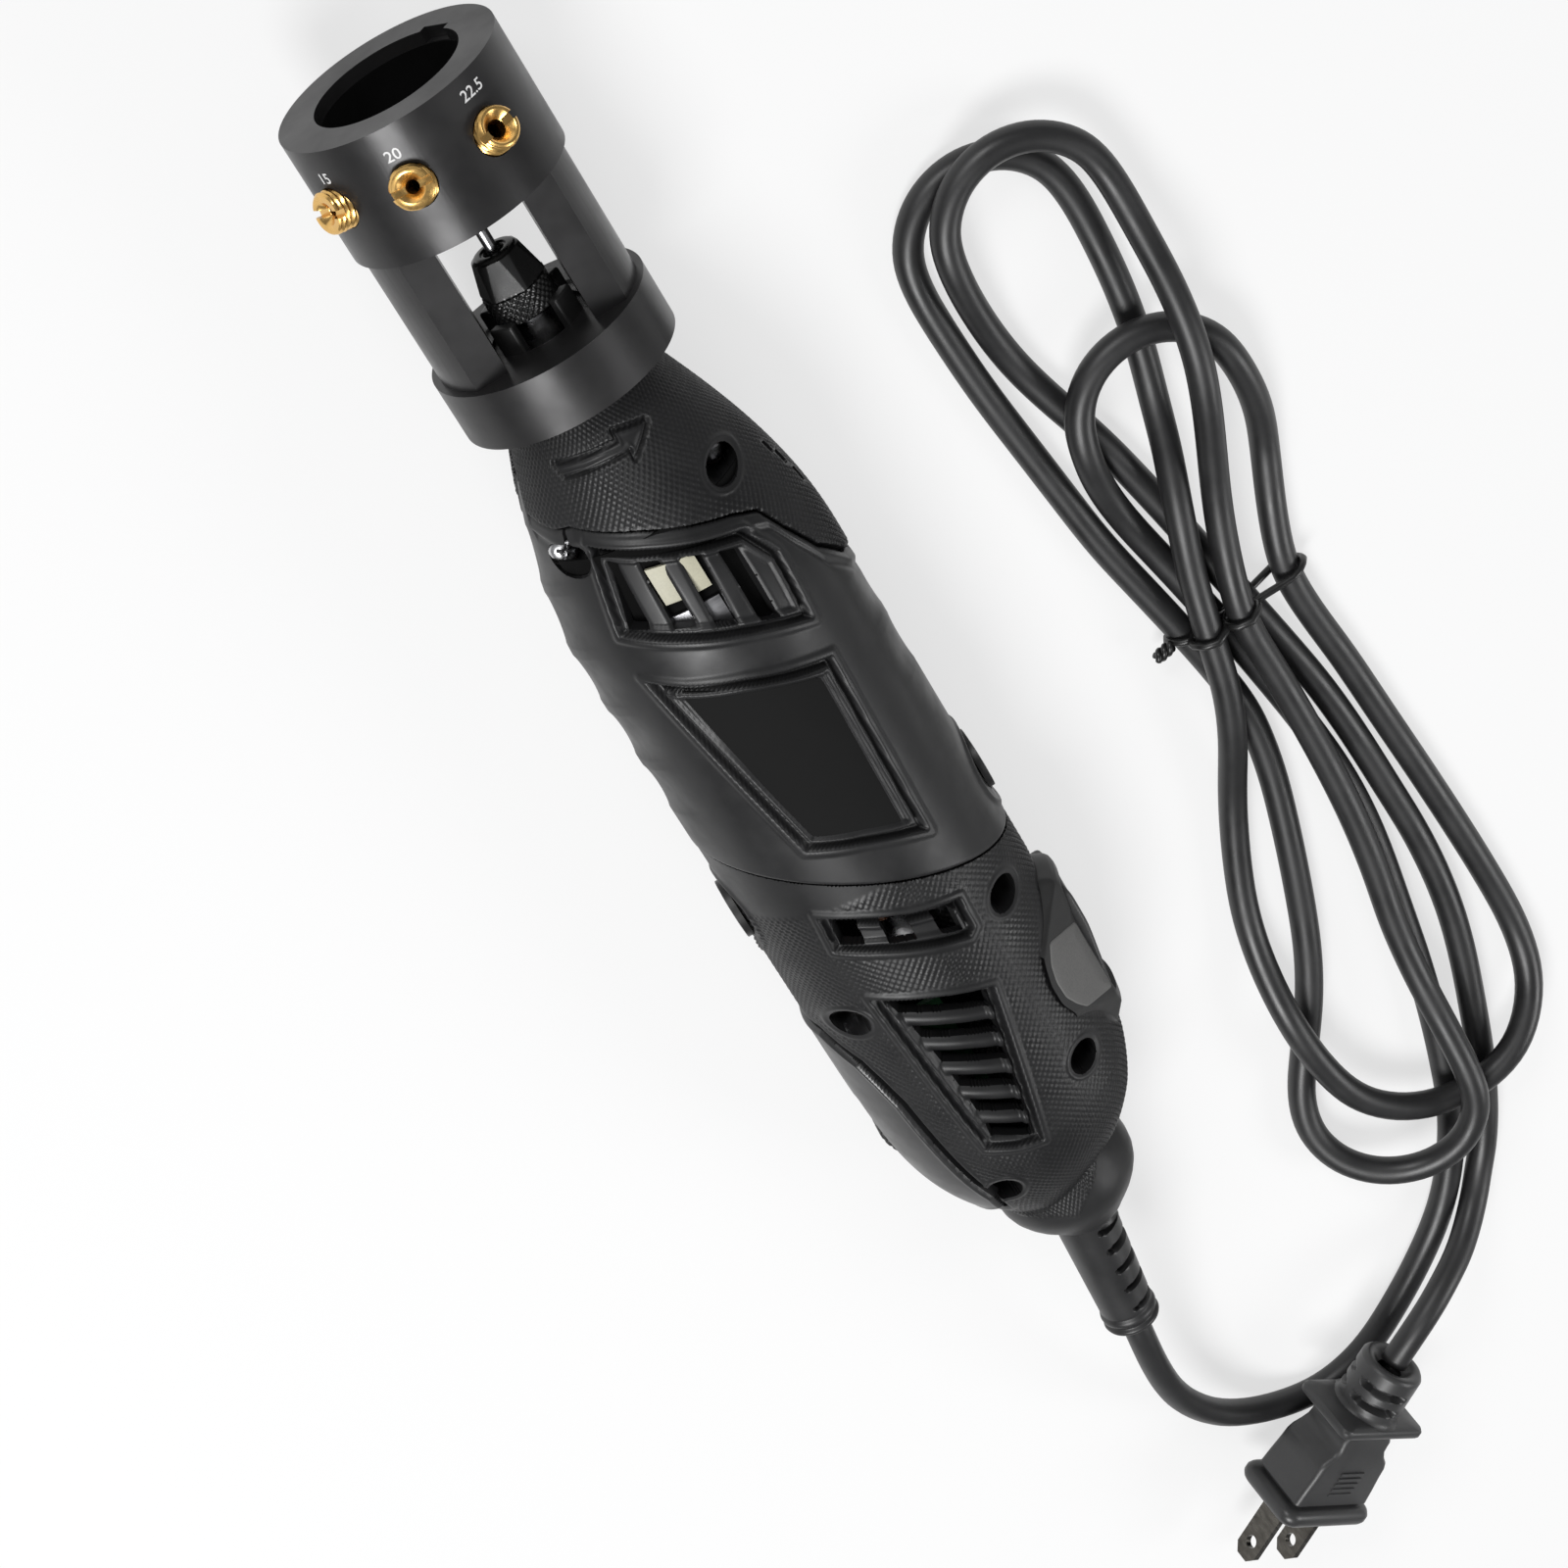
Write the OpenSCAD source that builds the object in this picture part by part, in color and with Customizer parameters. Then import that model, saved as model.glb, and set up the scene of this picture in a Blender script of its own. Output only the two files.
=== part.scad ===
// Corded rotary tool with an electrode sharpening head on its nose, a tied cord and a two-blade plug.
// Millimetres. +X runs along the tool axis to the open end of the head, +Z is up (label side),
// and the origin is under the middle of the tool, on the surface that it lies on.

/* [Head] */
// Length of the head from its open end to the back of its disc
head_len = 65; // [56:1:76]
// Outside diameter of the guide sleeve
sleeve_d = 43; // [38:1:50]
// Length of the guide sleeve
sleeve_len = 24.8; // [20:0.2:30]
// Bore of the guide sleeve
sleeve_bore_d = 28.8; // [25:0.2:32]
// Diameter of the base disc
disc_d = 43.2; // [38:0.2:50]
// Thickness of the base disc
disc_len = 11.9; // [9:0.1:15]
// Diameter that the two webs are turned to
web_d = 40.4; // [36:0.2:44]
// Clear width between the two webs
web_gap = 18; // [16:0.5:21]
// Height of the two webs, between their flat milled faces
web_h = 26; // [18:0.5:30]
// Major diameter of the nose thread
thread_d = 19; // [17:0.1:22]

/* [Guides] */
// Outside diameter of a brass guide
guide_d = 8; // [6:0.1:9]
// Length of a brass guide
guide_len = 10; // [8:0.1:13]
// Distance of the guides from the open end, at the sleeve's surface
guide_inset = 11.7; // [9:0.1:14]
// Angle round the sleeve from one guide to the next
guide_step = 45; // [35:1:60]
// Angle round the sleeve of the middle guide
guide_roll = 15; // [-20:1:30]
// Tilt and bore of the left guide
tilt_left = 15; // [10:0.5:25]
// Bore of the left guide
bore_left = 1.7; // [1:0.1:3.5]
// Tilt of the middle guide
tilt_mid = 20; // [10:0.5:25]
// Bore of the middle guide
bore_mid = 2.5; // [1:0.1:3.5]
// Tilt of the right guide
tilt_right = 22.5; // [10:0.5:25]
// Bore of the right guide
bore_right = 3.3; // [1:0.1:3.5]

/* [Grinding wheel] */
// Diameter of the diamond wheel
wheel_d = 22; // [16:0.5:26]
// Thickness of the diamond wheel
wheel_t = 3; // [2:0.1:5]
// Distance of the wheel's front face from the open end
wheel_inset = 17; // [15:0.1:20]
// Diameter of the mandrel's shank
mandrel_d = 2.4; // [2:0.1:3.2]

/* [Spindle] */
// Diameter of the collet nut
nut_d = 13; // [11:0.5:15]
// Length of the collet nut
nut_len = 13; // [10:0.5:15]
// Diameter of the spindle at its front bearing
spindle_d = 8; // [7:0.5:9]
// Outside diameter of the front bearing
bearing_d = 22; // [19:1:24]
// Width of the front bearing
bearing_w = 7; // [5:0.5:8]
// Outside diameter of the rear bearing
rear_bearing_d = 19; // [16:1:22]
// Width of the rear bearing
rear_bearing_w = 6; // [5:0.5:7]
// Diameter of the shaft at its rear bearing
rear_shaft_d = 6; // [5:0.5:6.5]

/* [Motor] */
// Diameter of the armature core
core_d = 26; // [22:0.5:30]
// Length of the armature core and the stator core
core_len = 40; // [30:1:44]
// Outside diameter of the stator core
stator_d = 46; // [42:0.5:47]
// Air gap between armature and stator
air_gap = 0.6; // [0.4:0.1:1]
// Diameter of the commutator
comm_d = 16; // [14:0.5:18]
// Diameter of the cooling fan
fan_d = 34; // [28:1:38]
// Width of a carbon brush
brush_w = 6; // [5:0.5:7]

/* [Housing] */
// Diameter of the body
body_d = 54; // [52:1:62]
// Wall of the moulded housing
wall = 2.5; // [2:0.1:3]
// Length of the housing's curved nose
nose_len = 53; // [46:1:60]
// Diameter of the nose where it meets the head
nose_d = 26.4; // [25:0.2:30]
// Diameter of the housing where the tail collar starts
tail_d = 29; // [27:0.5:32]
// Lean of the two slanted joints round the housing
seam_slant = 29; // [15:1:32]
// Depth of the flat that the tool lies on
foot_flat = 0.3; // [0.2:0.05:0.5]

/* [Controls] */
// Length of the rocker switch
rocker_len = 26; // [20:1:28]
// Height of the rocker switch round the body
rocker_h = 18; // [14:1:19]
// Reach of the rocker beyond the body's surface
rocker_out = 4.2; // [3:0.1:5]
// Length of the raised bezel round the rocker
bezel_len = 38; // [35:0.5:42]
// Height of the bezel round the body
bezel_h = 39; // [36:0.5:41]
// Diameter of the speed dial
dial_d = 22; // [18:0.5:24]
// Thickness of the speed dial
dial_t = 5; // [4:0.5:7]
// Reach of the dial beyond the body's surface
dial_out = 1.5; // [1:0.1:3]

/* [Cord] */
// Diameter of the cord
cord_d = 6; // [5:0.1:6.2]
// Length of the strain relief outside the collar
relief_len = 28; // [22:1:40]

/* [Plug] */
// Height and width of the plug's flange
flange_h = 27; // [20:0.5:30]
// Width of the plug's flange
flange_w = 19; // [16:0.5:24]
// Length of the plug's moulded grip
grip_len = 26; // [20:1:32]
// Length of a blade outside the plug
blade_len = 17; // [15:0.5:19]
// Distance between the two blades
blade_gap = 12.7; // [10:0.1:14]

/* [Hidden] */

$fn = 48;
eps = 0.01;
far = 200;            // reach of a cutting block
fit = 0.05;           // radial clearance of a fit
play = 0.3;           // clearance between neighbours that don't touch

// Stations along the axis, ahead of and behind the face where the head meets the nose
disc_back_x = 92;
open_x = disc_back_x + head_len;
sleeve_back_x = open_x - sleeve_len;
disc_front_x = disc_back_x + disc_len;
nose_front_x = disc_back_x - play;
nose_end_x = nose_front_x - nose_len;
nose_seam_x = 63;
rear_seam_x = -18;
tail_start_x = -20;
tail_end_x = -112;
tail_power = 4;         // how late the tail's curve turns in
nose_steps = 9;
tail_steps = 12;
collar_end_x = -128.5;

// Radii
body_r = body_d / 2;
nose_r = nose_d / 2;
tail_r = tail_d / 2;
sleeve_r = sleeve_d / 2;
thread_r = thread_d / 2;
nut_r = nut_d / 2;
spindle_r = spindle_d / 2;
core_r = core_d / 2;
stator_r = stator_d / 2;
comm_r = comm_d / 2;
cord_r = cord_d / 2;
axis_z = body_r - foot_flat;

// Motor stations
core_x0 = 0;
core_x1 = core_x0 + core_len;
winding_len = 7;
shaft_r = 3.5;
front_bearing_x = 76;
rear_bearing_x = -42;
fan_x0 = core_x1 + winding_len + 3;
fan_len = 9;
brush_x = -21;
comm_len = 14;
comm_x0 = brush_x - comm_len / 2;
rib_len = 3;
rib_xs = [core_x0 + 3, core_x1 - 6];
bulkhead_over = 1;

// Guides, keyway and wheel
guide_out = 3;          // reach of a guide beyond the sleeve, along its own axis
guide_slot_w = 1.4;
guide_slot_depth = 1.6;
guide_hole_in = 12;
key_w = 8;
key_len = 6;
key_depth = 1.6;
wheel_x1 = open_x - wheel_inset;
wheel_x0 = wheel_x1 - wheel_t;
arbor_r = 1.55;
mandrel_head_r = 3;
mandrel_in = 6;         // reach of the mandrel into the collet behind the disc's front face
screw_bore_r = 0.95;
arbor_screw_r = 2.8;
arbor_screw_h = 1.8;

// Nut and collet
nut_x0 = disc_front_x + 3.1;
nut_x1 = nut_x0 + nut_len;
collet_r = 2.4;
thread_root_r = 3.6;

// Collar on the nose
lug_len = 5;
lug_angle = 34;
collar_flange_r = thread_r + 1.5;
collar_flange_len = 2.2;
collar_bore_r = nut_r + play + 0.4;
lug_gap_tan = tan(45 - lug_angle / 2);

// Brushes and their caps
cap_boss_len = 4;
holder_w = brush_w + 2;
holder_h = 7;
holder_in = comm_r + 1.5;
holder_out = body_r - cap_boss_len;
cap_r = 6.4;
cap_plug_r = 4;
cap_ring_r = 8.5;
cap_ring_out = body_r + 0.4;
cap_out = body_r + 1.2;
cap_seat = body_r - 0.4;

// Axis of the speed dial
dial_x = -83;
dial_r = dial_d / 2;

// Screws: x, y of each well, all seen from above; the last one stays clear of the dial
dial_screw_gap = 3;
screw_spots = [[68.6, -14.2], [66.8, 17.6], [-38, -18], [-46, 20], [-78.5, -15],
    [dial_x - dial_r - dial_screw_gap, 12]];
well_r = 3.3;
boss_r = 4.4;
screw_head_r = 2.9;
screw_head_h = 2.2;
screw_r = 1.4;
screw_len = 16;
seat_h = 7;             // height of a screw's seat over the split

// Rocker switch
rocker_x = -64;
rocker_face = body_r + rocker_out;
rocker_in = body_r - 1.2;
pivot_r = 1.5;
pivot_y = body_r - 5;
rocker_play = 1.8;       // at the rocker's two ends
rocker_gap = 0.6;        // above and below the rocker
bezel_seat_r = body_r - 1.4;
bezel_edge_y = body_r + 1.2;
bezel_edge_z = 12;
bezel_slope = 0.79;      // rise of the bezel's upper facet towards the middle of the tool
switch_len = 15;
switch_h = 18;

// The rest of the speed dial
dial_y = 26 + dial_out - dial_r;
dial_shaft_r = 2;
dial_gap = 0.5;
board_z = axis_z - 9.5;
board_t = 1.6;
post_spot = [-70, 9];

// Control plate
plate_half = [[-50, 8], [-57, 14.7], [-62, 16.5], [-68, 18], [-99, 17.5], [-104.5, 14.5], [-107, 9]];
plate_gap = 0.3;
plate_first = [plate_half[0][0], -eps];
plate_last = [plate_half[len(plate_half) - 1][0], -eps];

// Label plate: corners seen from above
badge = [[38.7, 13.9], [25.8, -10.3], [-10.5, -8.9], [-1.8, 8]];
badge_t = 0.5;
badge_sink = 0.4;

// Vents: x, y of the middle, length along X, width, lean
front_slots = [[58.5, 11], [54, 4], [50, -3], [46.5, -10]];
small_slots = [[-24.5, 9.5], [-28, 1.5], [-31.5, -6.5]];
louvre_rows = 6;

// Strain relief
relief_lean_y = 5;
relief_dip = 3;
relief_r0 = 6.6;
relief_r1 = 5.7;
relief_gap = 0.7;
relief_neck_r = 5;
relief_ring = 0.4;

// Tail collar
collar_neck_r = 11;
collar_lip_r = 12.6;
collar_lip_len = 6;
collar_end_r = 7.6;
relief_hole_r = relief_neck_r + 0.2;

// Cord route, from the strain relief to the plug
lead_points = [[-157, 4, 25.5], [-163, 4.6, 25], [-176, 5.5, 21.5], [-190, 4.5, 16], [-204, -1, 10],
    [-214, -11, 5.2], [-218.5, -23, 3], [-216, -35, 3], [-209.5, -46, 3], [-202, -56, 3],
    [-193.5, -65, 3], [-183.5, -72, 3]];
hank_points = [
    [-183.5, -72, 3], [-172, -77.5, 3], [-160, -81, 3], [-147, -84, 3], [-133, -86.5, 3],
    [-118, -88.5, 3],
    [-102, -90.5, 3], [-86, -91, 3], [-70, -89.5, 3], [-54, -87, 3], [-42, -84.8, 3.6], [-34, -83, 3.8],
    [-22, -80.5, 3.4], [-8, -77.4, 3.5], [3, -75.9, 6.2], [13, -76, 9.5],
    [21.5, -78.5, 9.5], [27.7, -84.5, 9.5], [30, -93, 9.5], [27.7, -101.5, 9.5], [21.5, -107.7, 9.5],
    [13, -110, 9], [1, -110.3, 6], [-10, -108, 3], [-22, -103.7, 3.4], [-34, -100.5, 3.8],
    [-46, -100.8, 3.2],
    [-60, -102.6, 3], [-76, -104, 3], [-92, -105.5, 3], [-108, -106.8, 3], [-124, -107.8, 3],
    [-140, -108, 3], [-152.5, -104.7, 6], [-161.7, -95.5, 9.5], [-165, -83, 9.5], [-161.7, -70.5, 9.5],
    [-152.5, -61.3, 9.5], [-140, -57.5, 9.5], [-126, -56.3, 9.3], [-113, -57.3, 5.5], [-100, -60, 3],
    [-86, -64.6, 3], [-73, -69.6, 4.2], [-60, -74.5, 8], [-48, -78, 9.8], [-36, -80, 10.3],
    [-22, -82.7, 9.9], [-8, -86.5, 9.7], [3, -90.5, 6.5], [13, -93.6, 3], [24, -96, 3], [36, -97.6, 3],
    [48, -98.2, 3], [59, -98, 3], [67.5, -95.7, 3], [73.7, -89.5, 3], [76, -81, 3], [73.7, -72.5, 3],
    [67.5, -66.3, 3], [59, -64, 3], [46, -64.3, 3], [32, -65.4, 3], [18, -67.2, 3], [4, -69, 3],
    [-9, -70.8, 3], [-22, -73.6, 3.4], [-36, -76.6, 3.8], [-48, -78.8, 3.2], [-60, -80.2, 3],
    [-74, -78.8, 3], [-88, -75.7, 3], [-102, -72, 3], [-116, -67.7, 3], [-128, -62.5, 3], [-139, -56, 3],
    [-148, -51, 3.2], [-157, -49, 4.2], [-165.5, -51.3, 6.4], [-171.7, -57.5, 9.2], [-174, -66, 12.2],
    [-171.7, -74.5, 15], [-165.5, -80.7, 16.1], [-157, -83, 16], [-145, -83.6, 13.6], [-132, -84, 10.8],
    [-118, -85, 9.6], [-104, -87, 9.5], [-90, -88.2, 9.5], [-76, -88.6, 9.6], [-62, -88.5, 9.6],
    [-48, -88, 9.8], [-36, -87.5, 10.3], [-22, -90.5, 10], [-10, -94, 10.3], [2, -97.6, 12.8],
    [13, -100.6, 15.6], [24, -103.2, 16.5], [36, -104.8, 14.6], [48, -105.2, 11.4],
    [61, -105, 9.5], [69.5, -102.7, 9.5], [75.7, -96.5, 9.5], [78, -88, 9.5], [75.7, -79.5, 9.5],
    [69.5, -73.3, 9.5], [61, -71, 9.2], [48, -71.2, 6], [35, -73, 3], [24, -76, 3], [14, -79.3, 3],
    [4, -82, 3], [-8, -84.7, 3], [-22, -87.6, 3.4], [-36, -90.4, 3.8], [-48, -92.8, 3.2], [-62, -95.4, 3],
    [-76, -97, 3], [-92, -98, 3], [-108, -98.8, 3], [-124, -98, 3], [-138, -95.6, 3], [-152, -92, 3],
    [-164, -88.6, 3], [-175, -84.6, 3], [-183.5, -80.5, 3]];
end_points = [[-183.5, -80.5, 3], [-188.9, -76.7, 3.5], [-193.5, -72.7, 5.2], [-197.1, -68.1, 8],
    [-199.8, -62.8, 11.6], [-201.7, -56.4, 15.3], [-203.6, -51, 17.5], [-206.2, -45.3, 18.5],
    [-210.2, -38.4, 18.5]];

// Plug: place of the flange's front face, its heading, its dip and its roll about its own axis
plug_at = [-234.3, -6, 12.8];
plug_yaw = 126.5;
plug_dip = 8;
plug_roll = 70;
flange_t = 4.5;
flange_round = 2.5;
// Sections of the grip: share of its length, and how far it lies inside the flange in y and in z
grip_steps = [[0.17, 2, 2], [0.6, 2.4, 3], [0.88, 3.5, 6.5], [1, 3.5, 6.5]];
shoulder_t = 2.5;
shoulder_in = 0.8;       // inside the flange
shoulder_round = 2;
neck_r = 7;
neck_len = 12.5;
blade_w = 6.35;
blade_t = 1.5;
blade_hole_r = 1.5;
blade_hole_in = 4.5;

// Twist tie
tie_x = -35;
tie_w = 3;
tie_t = 0.6;

// ---- helpers ----
module along_x() translate([0, 0, axis_z]) rotate([0, 90, 0]) children();

// Solid of revolution on the tool axis; each point is [x, r]
module spun(points) along_x() rotate_extrude() polygon([for (p = points) [p[1], p[0]]]);

module rod(x0, x1, r) along_x() translate([0, 0, x0]) cylinder(h = x1 - x0, r = r);

module pipe(x0, x1, r_out, r_in) difference() {
    rod(x0, x1, r_out);
    rod(x0 - 1, x1 + 1, r_in);
}

// Everything ahead of a slanted joint
module ahead(x) translate([x, 0, axis_z]) rotate([0, 0, -seam_slant])
    translate([0, -far / 2, -far / 2]) cube([far * 2, far, far]);

module behind(x) translate([x, 0, axis_z]) rotate([0, 0, -seam_slant])
    translate([-far * 2, -far / 2, -far / 2]) cube([far * 2, far, far]);

// side is 1 on the left (+Y) and -1 on the right
module on_side(side) if (side > 0) children(); else mirror([0, 1, 0]) children();

// Outer radius of the housing at a station
function shell_r(x) =
    x > nose_end_x ? nose_r + (body_r - nose_r) * sin(90 * (nose_front_x - x) / nose_len)
    : x < tail_start_x ? tail_r + (body_r - tail_r)
        * cos(90 * pow((tail_start_x - x) / (tail_start_x - tail_end_x), tail_power))
    : body_r;

shell_xs = concat([for (i = [0:nose_steps]) nose_front_x - nose_len * i / nose_steps],
    [for (i = [0:tail_steps]) tail_start_x - (tail_start_x - tail_end_x) * i / tail_steps]);

// Catmull-Rom curve through a list of points
function lerp_cr(a, b, c, d, t) = 0.5 * (2 * b + (c - a) * t + (2 * a - 5 * b + 4 * c - d) * t * t
    + (3 * b - a - 3 * c + d) * t * t * t);
function at(p, i) = i < 0 ? 2 * p[0] - p[1] : i >= len(p) ? 2 * p[len(p) - 1] - p[len(p) - 2] : p[i];
function smooth(p, n) = concat([for (i = [0:len(p) - 2], k = [0:n - 1])
    lerp_cr(at(p, i - 1), p[i], p[i + 1], at(p, i + 2), k / n)], [p[len(p) - 1]]);
function unit(v) = v / norm(v);
function heading(p, i) = unit(p[min(i + 1, len(p) - 1)] - p[max(i - 1, 0)]);

// One closed tube swept along points, with a ring square to the path at each of them
module tube(points, r, sides) {
    n = len(points);
    rings = [for (i = [0:n - 1])
        let (t = heading(points, i), s = unit(cross([0, 0, 1], t)), u = cross(t, s))
        for (k = [0:sides - 1]) points[i] + r * (cos(360 * k / sides) * s + sin(360 * k / sides) * u)];
    sides_faces = [for (i = [0:n - 2], k = [0:sides - 1])
        let (a = i * sides + k, b = i * sides + (k + 1) % sides)
        each [[a, a + sides, b], [b, a + sides, b + sides]]];
    caps = [for (k = [1:sides - 2]) each [[0, k, k + 1],
        [(n - 1) * sides, (n - 1) * sides + k + 1, (n - 1) * sides + k]]];
    polyhedron(points = rings, faces = concat(sides_faces, caps), convexity = 20);
}

// ---- sharpening head ----
module guide_axis(index, tilt) {
    roll = guide_roll - index * guide_step;
    translate([open_x - guide_inset, 0, axis_z]) rotate([-roll, 0, 0]) translate([0, 0, sleeve_r])
        rotate([0, tilt, 0]) children();
}

// The sleeve, the two webs and the disc are one machined piece; they meet face to face
module head_sleeve() color([0.18, 0.18, 0.19]) difference() {
    pipe(sleeve_back_x, open_x, sleeve_r, sleeve_bore_d / 2);
    for (g = [[-1, tilt_left], [0, tilt_mid], [1, tilt_right]])
        guide_axis(g[0], g[1]) translate([0, 0, -guide_hole_in])
            cylinder(h = guide_hole_in * 2, r = guide_d / 2 + fit);
    // Short keyway at the bottom of the bore's mouth
    translate([open_x - key_len, -key_w / 2, axis_z - sleeve_bore_d / 2 - key_depth])
        cube([key_len + 1, key_w, key_depth * 4]);
}

module head_web(side) color([0.18, 0.18, 0.19]) on_side(side) intersection() {
    rod(disc_front_x, sleeve_back_x, web_d / 2);
    translate([disc_front_x - 1, web_gap / 2, axis_z - web_h / 2])
        cube([sleeve_back_x - disc_front_x + 2, far, web_h]);
}

module head_disc() color([0.18, 0.18, 0.19]) pipe(disc_back_x, disc_front_x, disc_d / 2, thread_r + fit);

module guide(index, tilt, bore_d) color([0.86, 0.68, 0.34]) guide_axis(index, tilt) difference() {
    translate([0, 0, guide_out - guide_len]) cylinder(h = guide_len, r = guide_d / 2);
    translate([0, 0, guide_out - guide_len - 1]) cylinder(h = guide_len + 2, r = bore_d / 2);
    translate([-guide_slot_w / 2, -guide_d, guide_out - guide_slot_depth])
        cube([guide_slot_w, guide_d * 2, guide_slot_depth + 1]);
}

// Threaded ring in the front of the nose, with four lugs round the collet nut
module nose_collar() color([0.12, 0.12, 0.12]) difference() {
    union() {
        rod(nose_front_x - wall - collar_flange_len, disc_front_x + lug_len, thread_r);
        rod(nose_front_x - wall - collar_flange_len, nose_front_x - wall, collar_flange_r);
    }
    rod(front_bearing_x, disc_front_x + lug_len + 1, collar_bore_r);
    intersection() {
        pipe(disc_front_x - eps, disc_front_x + lug_len + 1, thread_r + 1, nut_r - 1);
        union() for (a = [0:90:270]) along_x() rotate([0, 0, a]) linear_extrude(far)
            polygon([[0, 0], [disc_d, -disc_d * lug_gap_tan], [disc_d, disc_d * lug_gap_tan]]);
    }
    // The lugs stay clear of the two webs
    for (side = [-1, 1]) on_side(side) translate([disc_front_x + eps, web_gap / 2 - play, axis_z - thread_d])
        cube([lug_len + 1, far, thread_d * 2]);
}

// ---- grinding wheel, collet and spindle ----
module grinding_wheel() color([0.62, 0.6, 0.55]) pipe(wheel_x0, wheel_x1, wheel_d / 2, arbor_r + fit);

module mandrel() color([0.8, 0.8, 0.82]) difference() {
    union() {
        rod(disc_front_x - mandrel_in, wheel_x0, mandrel_d / 2);
        rod(wheel_x0 - 3, wheel_x0, mandrel_head_r);
        rod(wheel_x0 - 1, wheel_x1, arbor_r);
    }
    rod(wheel_x0 - 2, wheel_x1 + 1, screw_bore_r);
}

module mandrel_screw() color([0.72, 0.72, 0.74]) difference() {
    union() {
        rod(wheel_x1, wheel_x1 + arbor_screw_h, arbor_screw_r);
        rod(wheel_x0 - 1.5, wheel_x1 + 1, screw_bore_r - fit);
    }
    translate([wheel_x1 + arbor_screw_h / 2, -arbor_screw_r - 1, axis_z - 0.4])
        cube([arbor_screw_h, arbor_screw_r * 2 + 2, 0.8]);
}

module collet_nut() color([0.15, 0.15, 0.16]) difference() {
    union() {
        rod(nut_x0, nut_x1 - 5, nut_r - 0.4);
        along_x() translate([0, 0, nut_x1 - 5.5]) cylinder(h = 3, r = nut_r, $fn = 6);
        spun([[nut_x1 - 2.6, 0], [nut_x1 - 2.6, nut_r - 0.9], [nut_x1, nut_r - 3], [nut_x1, 0]]);
    }
    rod(nut_x0 - 1, nut_x1 - 3, thread_root_r + fit);
    rod(nut_x1 - 4, nut_x1 + 1, mandrel_d / 2 + 0.4);
}

module collet() color([0.75, 0.75, 0.76]) difference() {
    rod(disc_front_x - 8, nut_x1 - 3.1, collet_r);
    rod(disc_front_x - 9, nut_x1, mandrel_d / 2 + fit);
    translate([disc_front_x + 1, -0.25, axis_z - 5]) cube([20, 0.5, 10]);
}

module spindle() color([0.66, 0.66, 0.68]) difference() {
    union() {
        rod(front_bearing_x - 6, disc_front_x + 2, spindle_r);
        rod(disc_front_x + 1, nut_x1 - 3.4, thread_root_r);
        rod(rear_bearing_x + rear_bearing_w, front_bearing_x - 5, shaft_r);
        rod(rear_bearing_x - 2, rear_bearing_x + rear_bearing_w + 1, rear_shaft_d / 2);
    }
    rod(disc_front_x - 9, nut_x1, collet_r + fit);
}

module bearing(x, width, r_out, r_in) color([0.7, 0.7, 0.72]) difference() {
    pipe(x, x + width, r_out, r_in + fit);
    pipe(x - 1, x + 1, r_out - 2.2, r_in + 2);
    pipe(x + width - 1, x + width + 1, r_out - 2.2, r_in + 2);
}

// ---- motor ----
module armature_core() color([0.45, 0.45, 0.47]) difference() {
    pipe(core_x0, core_x1, core_r, shaft_r + fit);
    for (a = [0:30:330]) along_x() rotate([0, 0, a]) translate([core_r - 2.4, -0.7, core_x0 - 1])
        cube([5, 1.4, core_len + 2]);
}

module armature_winding() color([0.72, 0.38, 0.18]) for (x = [core_x0 - winding_len, core_x1])
    pipe(x, x + winding_len, core_r - 2, shaft_r + 1);

module commutator() color([0.75, 0.45, 0.25]) difference() {
    pipe(comm_x0, comm_x0 + comm_len, comm_r, shaft_r + fit);
    for (a = [0:30:330]) along_x() rotate([0, 0, a]) translate([comm_r - 1, -0.2, comm_x0 - 1])
        cube([2, 0.4, comm_len + 2]);
}

module cooling_fan() color([0.12, 0.12, 0.12]) {
    pipe(fan_x0, fan_x0 + fan_len, 7, shaft_r + fit);
    pipe(fan_x0, fan_x0 + 1.6, fan_d / 2, 6);
    for (a = [0:40:320]) along_x() rotate([0, 0, a]) translate([6, -0.7, fan_x0 + 1])
        cube([fan_d / 2 - 6.3, 1.4, fan_len - 1]);
}

module stator_core() color([0.4, 0.4, 0.42]) pipe(core_x0, core_x1, stator_r, core_r + air_gap);

module field_coils() color([0.74, 0.4, 0.2]) intersection() {
    for (x = [core_x0 - winding_len, core_x1]) pipe(x, x + winding_len, stator_r - 1.5, core_r + 1.2);
    for (flip = [-1, 1]) translate([core_x0 - 20, -13, axis_z + (flip > 0 ? 4 : -far - 4)])
        cube([core_len + 40, 26, far]);
}

module brush_holder(side) color([0.8, 0.62, 0.3]) on_side(side) difference() {
    translate([brush_x - holder_w / 2, holder_in, axis_z - holder_h / 2])
        cube([holder_w, holder_out - holder_in, holder_h]);
    translate([brush_x - brush_w / 2 - fit, holder_in - 1, axis_z - 2.5 - fit])
        cube([brush_w + 2 * fit, far, 5 + 2 * fit]);
}

module brush(side) color([0.2, 0.2, 0.21]) on_side(side)
    translate([brush_x - brush_w / 2, comm_r + play, axis_z - 2.5]) cube([brush_w, 9, 5]);

// Coil spring behind a brush, from the brush to its cap
module brush_spring(side) color([0.75, 0.75, 0.78]) on_side(side) {
    y0 = comm_r + play + 9;
    difference() {
        translate([brush_x, y0, axis_z]) rotate([-90, 0, 0]) cylinder(h = cap_seat - 2 - y0, r = 2.2);
        translate([brush_x, y0 - 1, axis_z]) rotate([-90, 0, 0]) cylinder(h = far, r = 1.5);
    }
}

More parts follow.
